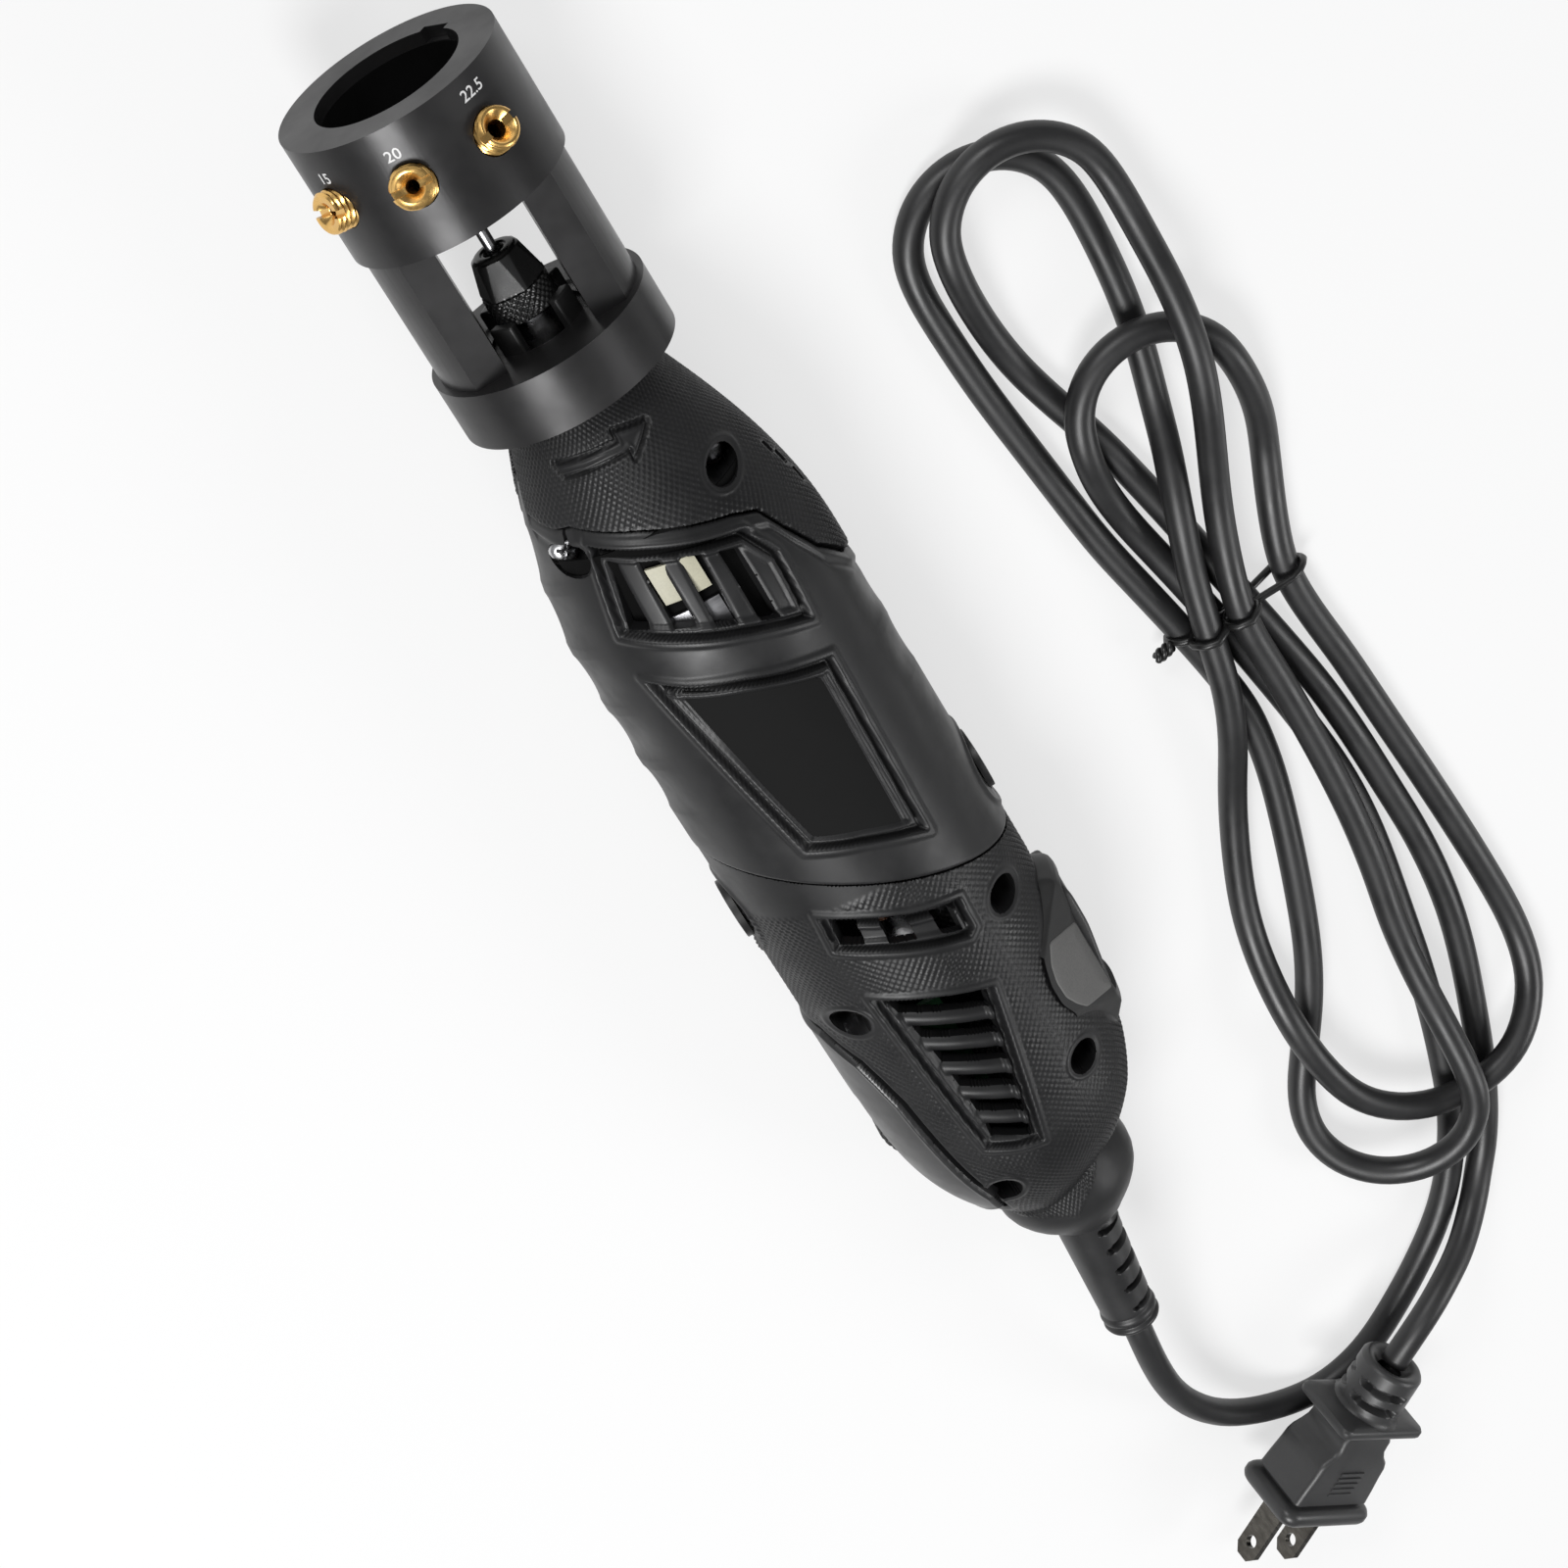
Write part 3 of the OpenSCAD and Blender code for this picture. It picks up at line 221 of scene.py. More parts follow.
def stand_in(name, mesh, material, slot, body="tool"):
    """The finished piece that shows in the place of one CAD node."""
    return add(name + "_seen", mesh, material, slot, body, [name])


def mesh_of(name, points, faces, sharp=None):
    """A mesh from points in millimetres. sharp is the angle in degrees past which an edge stays crisp."""
    mesh = bpy.data.meshes.new(name)
    mesh.from_pydata([tuple(c * MM for c in p) for p in points], [], faces)
    return finish_mesh(mesh, sharp)


WELD = 1e-6


def finish_mesh(mesh, sharp=None):
    """Welds a mesh, turns its faces outwards and marks its crisp edges."""
    b = bmesh.new()
    b.from_mesh(mesh)
    bmesh.ops.remove_doubles(b, verts=b.verts, dist=WELD)
    bmesh.ops.dissolve_degenerate(b, edges=b.edges, dist=WELD)
    bmesh.ops.recalc_face_normals(b, faces=b.faces)
    for f in b.faces:
        f.smooth = True
    if sharp is not None:
        limit = math.radians(sharp)
        for e in b.edges:
            e.smooth = not (len(e.link_faces) == 2 and e.calc_face_angle(0) > limit)
    b.to_mesh(mesh)
    b.free()
    mesh.update()
    return mesh


def ring_faces(rings, segments, closed=False):
    faces = []
    for i in range(rings if closed else rings - 1):
        j = (i + 1) % rings
        for k in range(segments):
            n = (k + 1) % segments
            faces.append((i * segments + k, i * segments + n, j * segments + n, j * segments + k))
    return faces


def end_caps(rings, segments):
    """One face over the first ring, and one over the last."""
    return [tuple(range(segments)), tuple(range((rings - 1) * segments, rings * segments))]


def grid_faces(index):
    """Four corners for each cell of a grid of point numbers."""
    return np.stack([index[:-1, :-1], index[1:, :-1], index[1:, 1:], index[:-1, 1:]], -1).reshape(-1, 4)


def rounded(profile, radius, steps=3):
    """A closed profile with each corner cut to a small arc."""
    out, n = [], len(profile)
    for i, p in enumerate(profile):
        a, b = Vector(profile[i - 1]) - Vector(p), Vector(profile[(i + 1) % n]) - Vector(p)
        cut = min(radius, a.length * 0.4, b.length * 0.4)
        start, end = Vector(p) + a.normalized() * cut, Vector(p) + b.normalized() * cut
        for k in range(steps + 1):
            t = k / steps
            out.append(tuple(start * (1 - t) ** 2 + Vector(p) * 2 * t * (1 - t) + end * t ** 2))
    return out


def baked(ob):
    """The object's mesh with its modifiers applied."""
    bpy.context.view_layer.update()
    return bpy.data.meshes.new_from_object(ob.evaluated_get(bpy.context.evaluated_depsgraph_get()))


def modified(mesh, kind, **settings):
    """mesh after one modifier."""
    target = linked(mesh.name, mesh)
    modifier = target.modifiers.new(kind.lower(), kind)
    for key, value in settings.items():
        setattr(modifier, key, value)
    result = baked(target)
    bpy.data.objects.remove(target)
    return result


def combine(base, others, operation="DIFFERENCE"):
    """base with each of the other meshes cut away or joined on, as a new mesh."""
    target = linked(base.name, base)
    tools = [linked(mesh.name, mesh) for mesh in others]
    for tool in tools:
        modifier = target.modifiers.new("cut", "BOOLEAN")
        modifier.operation, modifier.object, modifier.solver = operation, tool, "EXACT"
    result = baked(target)
    for ob in (target, *tools):
        bpy.data.objects.remove(ob)
    return result


def weighted(mesh):
    """mesh with flat faces that shade flat."""
    return modified(mesh, "WEIGHTED_NORMAL", keep_sharp=True, weight=60)


def bevelled(mesh, width, segments=2):
    """mesh with its hard edges rounded."""
    cut = modified(mesh, "BEVEL", width=width * MM, segments=segments, limit_method="ANGLE",
                   angle_limit=math.radians(35))
    return weighted(finish_mesh(cut, 40))


def shift(x, y, z):
    return Matrix.Translation((x, y, z))


ALONG_TOOL = shift(0, 0, AXIS)
X_TO_Z = Matrix.Rotation(-math.pi / 2, 4, "Y")
X_TO_Y = Matrix.Rotation(math.pi / 2, 4, "Z")


def turned(axis, degrees):
    return Matrix.Rotation(math.radians(degrees), 4, axis)


def round_tool(x, r, a):
    """The point at x and radius r, turned by the angle a from +Z towards +Y about the tool's axis."""
    return x, r * math.sin(a), AXIS + r * math.cos(a)


def read_off(table, value):
    """The second column of a table at a place in its first."""
    return np.interp(value, *zip(*table))


def lathe(name, profile, segments=96, closed=True, sharp=30, wobble=None, frame_=ALONG_TOOL):
    """A profile of (x, r) turned about the X axis of a frame. wobble(x, r, angle) may change the radius."""
    points = []
    for x, r in profile:
        for k in range(segments):
            a = TAU * k / segments
            q = wobble(x, r, a) if wobble else r
            points.append(tuple(frame_ @ Vector((x, q * math.sin(a), q * math.cos(a)))))
    return mesh_of(name, points, ring_faces(len(profile), segments, closed), sharp)


def box_mesh(name, low, high, frame_=Matrix()):
    corners = [(x, y, z) for x in (low[0], high[0]) for y in (low[1], high[1]) for z in (low[2], high[2])]
    faces = [(0, 1, 3, 2), (4, 6, 7, 5), (0, 4, 5, 1), (2, 3, 7, 6), (0, 2, 6, 4), (1, 5, 7, 3)]
    return mesh_of(name, [tuple(frame_ @ Vector(c)) for c in corners], faces, 30)


def joined(name, meshes):
    """Several meshes as one, without cutting them."""
    parts = [linked(mesh.name, mesh) for mesh in meshes]
    with bpy.context.temp_override(active_object=parts[0], object=parts[0], selected_objects=parts,
                                   selected_editable_objects=parts):
        bpy.ops.object.join()
    result = parts[0].data
    bpy.data.objects.remove(parts[0])
    result.name = name
    return result


ROUTE_PASSES = 6


def smooth_route(points, steps):
    """A Catmull-Rom curve through points, evened out."""
    p = np.array(points, float)
    p = np.vstack([2 * p[0] - p[1], p, 2 * p[-1] - p[-2]])
    t = np.arange(steps)[:, None] / steps
    out = []
    for a, b, c, d in zip(p[:-3], p[1:-2], p[2:-1], p[3:]):
        out.append(0.5 * (2 * b + (c - a) * t + (2 * a - 5 * b + 4 * c - d) * t ** 2
                          + (3 * b - a - 3 * c + d) * t ** 3))
    path = np.vstack([*out, p[-2:-1]])
    for _ in range(ROUTE_PASSES):
        path[1:-1] += 0.25 * (path[2:] - 2 * path[1:-1] + path[:-2])
    return path


def sweep(name, path, radius, sides=20, closed=False):
    """A tube along a path."""
    path = np.asarray(path, float)
    tangent = np.roll(path, -1, 0) - np.roll(path, 1, 0) if closed else np.gradient(path, axis=0)
    tangent /= np.linalg.norm(tangent, axis=1)[:, None]
    side = np.cross(tangent[0], (0, 0, 1) if abs(tangent[0][2]) < 0.9 else (1, 0, 0))
    angles = TAU * np.arange(sides)[:, None] / sides
    points = []
    for p, t in zip(path, tangent):
        side = side - t * side.dot(t)
        side /= np.linalg.norm(side)
        points.append(p + radius * (np.cos(angles) * side + np.sin(angles) * np.cross(t, side)))
    faces = ring_faces(len(path), sides, closed)
    if not closed:
        faces += end_caps(len(path), sides)
    return mesh_of(name, np.vstack(points), faces)


ARC_STEPS = 7


def loft(name, stations, frame_, sharp=35):
    """Rounded rectangles in a row along a frame's X axis. A station is (x, half y, half z, corner radius)."""
    points = []
    for x, half_y, half_z, corner in stations:
        for k, (sy, sz) in enumerate(((1, 1), (-1, 1), (-1, -1), (1, -1))):
            for j in range(ARC_STEPS + 1):
                a = math.pi / 2 * (k + j / ARC_STEPS)
                points.append(tuple(frame_ @ Vector((x, sy * (half_y - corner) + corner * math.cos(a),
                                                     sz * (half_z - corner) + corner * math.sin(a)))))
    sides = 4 * (ARC_STEPS + 1)
    return mesh_of(name, points, ring_faces(len(stations), sides) + end_caps(len(stations), sides), sharp)


SLOT_BULGE, SLOT_EDGE, SLOT_END = 0.45, 0.5, 8


def soft_step(value, width):
    """1 well inside, 0 outside, over a width."""
    t = min(1.0, max(0.0, 0.5 - value / width))
    return t * t * (3 - 2 * t)


def slotted(slots, depth):
    """A wobble for a lathe that sinks slots, each (x, half width, angle, half angle), into a sleeve."""
    def wobble(x, r, a):
        sink = 0.0
        for at, half, middle, reach in slots:
            away = abs((math.degrees(a) - middle + 180) % 360 - 180) - reach
            crescent = half * max(0.0, 1 - (max(0.0, away + reach) / (reach + 1e-6)) ** 4 * SLOT_BULGE)
            sink = max(sink, soft_step(abs(x - at) - crescent, SLOT_EDGE) * soft_step(away, SLOT_END))
        return r - depth * sink
    return wobble


# ---------------------------------------------------------------- cord, tie and plug
# The route is the CAD's own, in three stretches: off the tool, the tied hank, and on to the plug.
LEAD = ((-157, 4, 25.5), (-163, 4.6, 25), (-176, 5.5, 21.5), (-190, 4.5, 16), (-204, -1, 10),
    (-214, -11, 5.2), (-218.5, -23, 3), (-216, -35, 3), (-209.5, -46, 3), (-202, -56, 3), (-193.5, -65, 3),
    (-183.5, -72, 3))
HANK = ((-183.5, -72, 3), (-172, -77.5, 3), (-160, -81, 3), (-147, -84, 3), (-133, -86.5, 3),
    (-118, -88.5, 3), (-102, -90.5, 3), (-86, -91, 3), (-70, -89.5, 3), (-54, -87, 3), (-42, -84.8, 3.6),
    (-34, -83, 3.8), (-22, -80.5, 3.4), (-8, -77.4, 3.5), (3, -75.9, 6.2), (13, -76, 9.5),
    (21.5, -78.5, 9.5), (27.7, -84.5, 9.5), (30, -93, 9.5), (27.7, -101.5, 9.5), (21.5, -107.7, 9.5),
    (13, -110, 9), (1, -110.3, 6), (-10, -108, 3), (-22, -103.7, 3.4), (-34, -100.5, 3.8),
    (-46, -100.8, 3.2), (-60, -102.6, 3), (-76, -104, 3), (-92, -105.5, 3), (-108, -106.8, 3),
    (-124, -107.8, 3), (-140, -108, 3), (-152.5, -104.7, 6), (-161.7, -95.5, 9.5), (-165, -83, 9.5),
    (-161.7, -70.5, 9.5), (-152.5, -61.3, 9.5), (-140, -57.5, 9.5), (-126, -56.3, 9.3), (-113, -57.3, 5.5),
    (-100, -60, 3), (-86, -64.6, 3), (-73, -69.6, 4.2), (-60, -74.5, 8), (-48, -78, 9.8), (-36, -80, 10.3),
    (-22, -82.7, 9.9), (-8, -86.5, 9.7), (3, -90.5, 6.5), (13, -93.6, 3), (24, -96, 3), (36, -97.6, 3),
    (48, -98.2, 3), (59, -98, 3), (67.5, -95.7, 3), (73.7, -89.5, 3), (76, -81, 3), (73.7, -72.5, 3),
    (67.5, -66.3, 3), (59, -64, 3), (46, -64.3, 3), (32, -65.4, 3), (18, -67.2, 3), (4, -69, 3),
    (-9, -70.8, 3), (-22, -73.6, 3.4), (-36, -76.6, 3.8), (-48, -78.8, 3.2), (-60, -80.2, 3),
    (-74, -78.8, 3), (-88, -75.7, 3), (-102, -72, 3), (-116, -67.7, 3), (-128, -62.5, 3), (-139, -56, 3),
    (-148, -51, 3.2), (-157, -49, 4.2), (-165.5, -51.3, 6.4), (-171.7, -57.5, 9.2), (-174, -66, 12.2),
    (-171.7, -74.5, 15), (-165.5, -80.7, 16.1), (-157, -83, 16), (-145, -83.6, 13.6), (-132, -84, 10.8),
    (-118, -85, 9.6), (-104, -87, 9.5), (-90, -88.2, 9.5), (-76, -88.6, 9.6), (-62, -88.5, 9.6),
    (-48, -88, 9.8), (-36, -87.5, 10.3), (-22, -90.5, 10), (-10, -94, 10.3), (2, -97.6, 12.8),
    (13, -100.6, 15.6), (24, -103.2, 16.5), (36, -104.8, 14.6), (48, -105.2, 11.4), (61, -105, 9.5),
    (69.5, -102.7, 9.5), (75.7, -96.5, 9.5), (78, -88, 9.5), (75.7, -79.5, 9.5), (69.5, -73.3, 9.5),
    (61, -71, 9.2), (48, -71.2, 6), (35, -73, 3), (24, -76, 3), (14, -79.3, 3), (4, -82, 3), (-8, -84.7, 3),
    (-22, -87.6, 3.4), (-36, -90.4, 3.8), (-48, -92.8, 3.2), (-62, -95.4, 3), (-76, -97, 3), (-92, -98, 3),
    (-108, -98.8, 3), (-124, -98, 3), (-138, -95.6, 3), (-152, -92, 3), (-164, -88.6, 3), (-175, -84.6, 3),
    (-183.5, -80.5, 3))
END = ((-183.5, -80.5, 3), (-188.9, -76.7, 3.5), (-193.5, -72.7, 5.2), (-197.1, -68.1, 8),
    (-199.8, -62.8, 11.6), (-201.7, -56.4, 15.3), (-203.6, -51, 17.5), (-206.2, -45.3, 18.5),
    (-210.2, -38.4, 18.5))


def make_cord():
    path = smooth_route(LEAD + HANK[1:] + END[1:], 6)
    mesh = sweep("mains_cord", path, CORD_R, 22)
    return add("mains_cord", mesh, CORD, "cord_rubber", replaces=["cord_lead", "cord_hank", "cord_end"]), path


PLUG_FRAME = shift(-234.3, -6.0, 12.8) @ turned("Z", 126.5) @ turned("Y", 8) @ turned("X", 70)
FLANGE_Y, FLANGE_Z = 9.5, 13.5
PLUG_BACK = -28.4
GRIP_RIBS = (-8.6, -10.1, -11.6, -13.1, -14.6)
NECK_SLOT_DEPTH = 2.2
NECK_SLOTS = [(x, 0.85, middle, 46) for x in (3.9, 7.9) for middle in (70, 190, 310)]


def make_plug():
    y, z = FLANGE_Y, FLANGE_Z
    flange = loft("flange", [(0.0, y - 1.9, z - 1.9, 2.2), (-0.25, y - 1.1, z - 1.1, 2.8),
                             (-0.8, y - 0.45, z - 0.45, 3.2), (-1.7, y, z, 3.5), (-2.9, y, z, 3.5),
                             (-3.8, y - 0.5, z - 0.5, 3.2), (-4.3, y - 1.2, z - 1.2, 2.8),
                             (-4.5, y - 2.0, z - 2.0, 2.2)], PLUG_FRAME)
    # (x, half y, half z): two hollows for the fingers on the narrow faces
    outline = [(-4.2, 6.6, 10.6), (-5.1, 6.6, 10.6), (-5.5, 7.4, 11.4), (-9.0, 7.3, 11.1), (-13.0, 7.2, 10.6),
               (-15.5, 7.1, 10.5), (-17.0, 7.0, 9.9), (-18.6, 6.9, 8.3), (-20.2, 6.7, 7.4), (-21.6, 6.5, 7.5),
               (-22.8, 6.4, 7.6), (-24.0, 6.3, 6.9), (-25.2, 6.2, 6.6), (-26.4, 6.4, 6.9)]
    grip = loft("grip", [(x, a, b, 1.3) for x, a, b in outline], PLUG_FRAME, sharp=50)
    y, z = FLANGE_Y - 0.8, FLANGE_Z - 0.8
    shoulder = loft("shoulder", [(-25.9, y - 0.9, z - 0.9, 1.4), (-26.1, y - 0.3, z - 0.3, 1.8),
                                 (-26.6, y, z, 2.0), (-27.6, y, z, 2.0), (-28.2, y - 0.4, z - 0.4, 1.8),
                                 (-28.7, y - 1.6, z - 2.6, 1.4), (-28.9, y - 3.0, z - 5.0, 1.2)], PLUG_FRAME)
    fillet = [(0.0, 8.4), (0.35, 7.9), (0.8, 7.6), (1.5, 7.4)]
    sleeve = fillet + [(1.5 + 0.3 * i, 7.4 - 0.004 * i) for i in range(1, 35)]
    end = [(12.2, 6.95), (12.6, 6.6), (12.7, 6.1), (12.6, 5.2), (12.1, 4.4), (11.2, 3.6), (10.6, 2.9)]
    back = PLUG_FRAME @ shift(PLUG_BACK, 0, 0) @ turned("Z", 180)
    neck = lathe("neck", sleeve + end, 110, False, 50, slotted(NECK_SLOTS, NECK_SLOT_DEPTH), back)
    ribs = [bevelled(box_mesh("rib", (x - 0.38, 6.9, -3.6), (x + 0.38, 7.55, 3.6), PLUG_FRAME), 0.12)
            for x in GRIP_RIBS]
    mesh = joined("plug_body_seen", [flange, grip, shoulder, neck, *ribs])
    return stand_in("plug_body", mesh, PLUG, "cord_rubber")


TIE_X, TIE_R, TIE_SLACK = -35.0, 0.8, 0.25
TWIST_Y, TWIST_Z, TWIST_R, TWIST_RATE, TWIST_LEN = -72.9, 6.3, 0.85, 2.6, 3.2
# (y, z) of the four outer cords under the tie
TIE_ROUND = ((-76.9, 3.9), (-80.1, 10.2), (-87.5, 10.2), (-100.4, 3.9))


def make_tie():
    """A wire tie: a loop that hugs the cords, and its two ends twisted together."""
    reach = CORD_R + TIE_SLACK + TIE_R
    loop, n = [], len(TIE_ROUND)
    for i, (y, z) in enumerate(TIE_ROUND):
        out = []
        for (ay, az), (by, bz) in ((TIE_ROUND[i - 1], (y, z)), ((y, z), TIE_ROUND[(i + 1) % n])):
            out.append(math.atan2(by - ay, az - bz))
        if out[1] > out[0]:
            out[1] -= TAU
        for a in np.linspace(out[0], out[1], 9):
            loop.append((TIE_X + 0.4 * math.sin(3 * a), y + reach * math.cos(a),
                         max(z + reach * math.sin(a), TIE_R)))
    wires = [sweep("band", loop, TIE_R, 12, closed=True)]
    for sign in (1, -1):
        end = [(TIE_X + sign * TWIST_R * math.cos(TWIST_RATE * s) - 0.35 * s, TWIST_Y + 1.15 * s,
                TWIST_Z + sign * TWIST_R * math.sin(TWIST_RATE * s) - 0.25 * s)
               for s in np.linspace(0, TWIST_LEN, 28)]
        wires.append(sweep("twist", end, TIE_R * 0.85, 10))
    return stand_in("twist_tie", joined("twist_tie_seen", wires), TIE, "tie_plastic")


cord, cord_path = make_cord()
plug = make_plug()
tie = make_tie()


# ---------------------------------------------------------------- housing skin
# The housing is drawn on a grid of (x, angle from +Z towards +Y), and its relief is a height over that grid.
NOSE_X, TAIL_X, NOSE_LEN, BODY_R = 91.7, -112.0, 53.0, 27.0
NOSE_R, TAIL_R, TAPER_X = 13.2, 14.5, -20.0
COLUMNS = 530
CELL = TAU * BODY_R / COLUMNS
KNURL_CELLS, KNURL_HEIGHT = 5, 0.26
# (degrees, x) of the housing's rear edge
TAIL_LINE = ((-180, -112.0), (-120, -110.0), (-90, -107.0), (-28, -107.0), (9, -115.6), (25, -113.6),
    (45, -112.0), (180, -112.0))
SEAM_X, SEAM_SLANT = -18.0, math.tan(math.radians(29))
WALL, DEEP_WALL = 2.5, 4.5
TONGUE_R, TONGUE_X = 16.15, -104
# (distance behind the origin, depth) of the cut on the right, and (degrees, share) of it and of the tongue
TAIL_CUT = ((88, 0), (98, 1.1), (104, 2.5), (106.8, 3.5), (109, 2.9), (112, 0))
CUT_SPAN = ((-150, 0), (-110, 1), (-25, 1), (25, 0))
TONGUE_SPAN = ((-32, 0), (-15, 1), (45, 1), (70, 0))
FAR = 99.0
SNAP = 0.55 * CELL


def shell_radius(x):
    nose = NOSE_R + (BODY_R - NOSE_R) * np.sin(np.pi / 2 * np.clip((NOSE_X - x) / NOSE_LEN, 0, 1))
    run = np.clip((TAPER_X - x) / (TAPER_X - TAIL_X), 0, 1)
    tail = TAIL_R + (BODY_R - TAIL_R) * np.cos(np.pi / 2 * run ** 4)
    return np.where(x > NOSE_X - NOSE_LEN, nose, np.where(x < TAPER_X, tail, BODY_R))


def tail_line(pa):
    """Where the housing ends at its tail: a tongue over the collar on top, cut back on the right."""
    return read_off(TAIL_LINE, pa)


def tail_cut(px, pa):
    """The shell's radius with the right side of the tail drawn in, and the tongue held up."""
    tongue = read_off(TONGUE_SPAN, pa) * np.clip((TONGUE_X - px) / 4, 0, 1)
    radius = shell_radius(px) - read_off(TAIL_CUT, -px) * read_off(CUT_SPAN, pa)
    return radius + tongue * np.maximum(0, TONGUE_R - radius)


def unrolled(points):
    """Feature corners given as (x, degrees) in the grid's own flat millimetres."""
    return [(x, math.radians(a) * BODY_R) for x, a in points]


def outline_distance(px, ps, points):
    """Signed distance to a closed outline, negative inside."""
    best = np.full(px.shape, 1e9)
    inside = np.zeros(px.shape, bool)
    for (ax, ay), (bx, by) in zip(points, points[1:] + points[:1]):
        ex, ey = bx - ax, by - ay
        t = np.clip(((px - ax) * ex + (ps - ay) * ey) / (ex * ex + ey * ey), 0, 1)
        best = np.minimum(best, np.hypot(px - ax - t * ex, ps - ay - t * ey))
        crosses = (ay > ps) != (by > ps)
        with np.errstate(divide="ignore", invalid="ignore"):
            at = ax + (ps - ay) * ex / (ey if ey else 1e-9)
        inside ^= crosses & (px < at)
    return np.where(inside, -best, best)


ARROW = unrolled([(84.2, 41.1), (83.4, -2.8), (85.3, -3.5), (83.4, -25.8), (79.4, -5.7), (81.2, -7.1),
    (81.8, 36.7)])
FRONT_FRAME = unrolled([(70.0, 38.4), (66.1, 15.7), (62.7, -4.3), (58.5, -28.5), (50.5, -36.0),
    (35.1, -32.5), (38.4, -18.4), (41.9, -3.7), (46.3, 17.2), (51.2, 42.5)])
FRONT_SLOTS = [unrolled(p) for p in (
    [(65.3, 31.6), (64.6, 29.0), (51.2, 27.4), (52.3, 36.2)],
    [(63.4, 18.8), (62.3, 10.3), (48.2, 9.8), (49.6, 18.4)],
    [(60.9, 1.8), (59.2, -6.9), (44.5, -4.7), (46.3, 3.3)],
    [(57.6, -13.9), (55.8, -22.1), (40.5, -20.3), (42.5, -12.6)])]
LABEL_FRAME = unrolled([(42.3, 42.5), (38.7, 25.9), (35.1, 4.2), (32.0, -10.2), (27.8, -30.7),
    (-15.3, -27.4), (-12.9, -18.7), (-8.2, 0.2), (-4.1, 21.2)])
LABEL_FIELD = unrolled([(38.3, 31.7), (34.7, 13.3), (30.7, -4.0), (26.1, -21.8), (-10.6, -19.1),
    (-6.3, -2.0), (-1.8, 16.0)])
SMALL_FRAME = unrolled([(-18.4, 33.5), (-21.9, 15.2), (-26.1, -2.6), (-30.2, -23.8), (-38.2, -22.7),
    (-39.3, -17.8), (-36.5, -5.0), (-31.5, 16.8), (-28.0, 35.3)])
SMALL_SLOTS = [unrolled(p) for p in (
    [(-20.7, 28.4), (-22.5, 18.9), (-27.9, 20.3), (-26.3, 29.8)],
    [(-24.6, 11.0), (-27.0, 0.7), (-32.0, 1.0), (-29.9, 11.8)],
    [(-29.1, -8.7), (-31.1, -17.5), (-36.3, -16.8), (-34.2, -8.6)])]
LOUVRE_FRAME = unrolled([(-39.9, 33.4), (-44.6, 8.6), (-50.5, -16.6), (-88.2, -0.2), (-86.8, 12.0),
    (-84.0, 25.5)])
LOUVRE_GAPS = [unrolled(p) for p in (
    [(-43.0, 26.6), (-47.3, 6.0), (-51.3, -11.5), (-54.2, -10.4), (-50.2, 7.0), (-46.3, 25.4)],
    [(-50.2, 23.8), (-53.6, 7.5), (-57.4, -8.9), (-60.3, -7.8), (-56.6, 8.3), (-53.5, 22.8)],
    [(-57.3, 21.6), (-60.3, 8.0), (-63.8, -6.3), (-66.7, -5.1), (-63.3, 8.9), (-60.6, 20.8)],
    [(-64.2, 20.2), (-67.0, 8.8), (-70.2, -3.6), (-73.0, -2.4), (-70.0, 9.7), (-67.5, 19.8)],
    [(-71.2, 19.4), (-73.7, 9.8), (-76.5, -0.9), (-79.2, 0.4), (-76.7, 10.7), (-74.4, 19.2)],
    [(-78.2, 19.2), (-80.3, 11.0), (-82.6, 2.0), (-85.2, 3.6), (-83.2, 12.4), (-81.4, 19.8)])]
NOSE_SEAM = [(95.0, 96.0), (74.6, 77.7), (73.0, 60.5), (72.6, 54.0), (72.9, 44.0), (71.4, 33.6),
    (68.4, 11.3), (64.6, -9.1), (61.4, -27.2), (58.4, -39.1), (52.5, -44.5), (44.4, -53.9), (36.7, -72.0),
    (33.0, -90.0)]
NOTCH = unrolled([(73.4, 51.5), (73.6, 49.6), (69.6, 47.4), (69.3, 50.2)])
NOSE_SLOTS = [unrolled(p) for p in (
    [(63.6, -73.5), (62.8, -77.5), (60.0, -77.0), (60.8, -73.0)],
    [(60.2, -76.5), (59.3, -81.5), (56.0, -81.0), (57.0, -76.0)],
    [(55.2, -79.0), (54.0, -84.0), (50.6, -83.5), (51.8, -78.5)])]
WELLS = ((68.6, -14.2), (66.8, 17.6), (-38.0, -18.0), (-46.0, 20.0), (-78.5, -15.0), (-97.0, 12.0))
WELL_R, WELL_SEAT = 3.3, 7.6
HOLES = {"nose": NOSE_SLOTS, "body": FRONT_SLOTS + [NOTCH], "rear": SMALL_SLOTS + LOUVRE_GAPS}
# Where the shallow scallops for the fingertips are, along both flanks
SCALLOPS = (66, 52.5, 39, 25.5, 12)
CAP_X, CAP_RIM, CAP_LIP = -21.0, 8.7, 2.1
BEZEL_LAP, PLATE_GAP = 2.2, 0.6
# (x, half height) of the control plate, which is the same above and below the tool's middle
PLATE_HALF = ((-50.0, 8.0), (-57.0, 14.7), (-62.0, 16.5), (-68.0, 18.0), (-99.0, 17.5), (-104.5, 14.5),
    (-107.0, 9.0))
DIAL_X, DIAL_Y, DIAL_R, DIAL_T = -83.0, 16.5, 11.0, 5.0
# (x, degrees) where the switch's bezel meets the housing, upper half
BEZEL_LINE = ((-46.2, -90.0), (-46.4, -76.0), (-47.4, -68.0), (-49.6, -64.9), (-50.5, -55.8), (-53.1, -49.7),
    (-56.5, -44.5), (-60.7, -41.2), (-65.3, -41.7), (-70.3, -47.1), (-73.5, -55.0), (-76.0, -61.0),
    (-80.0, -65.0), (-83.5, -73.0), (-84.5, -90.0))


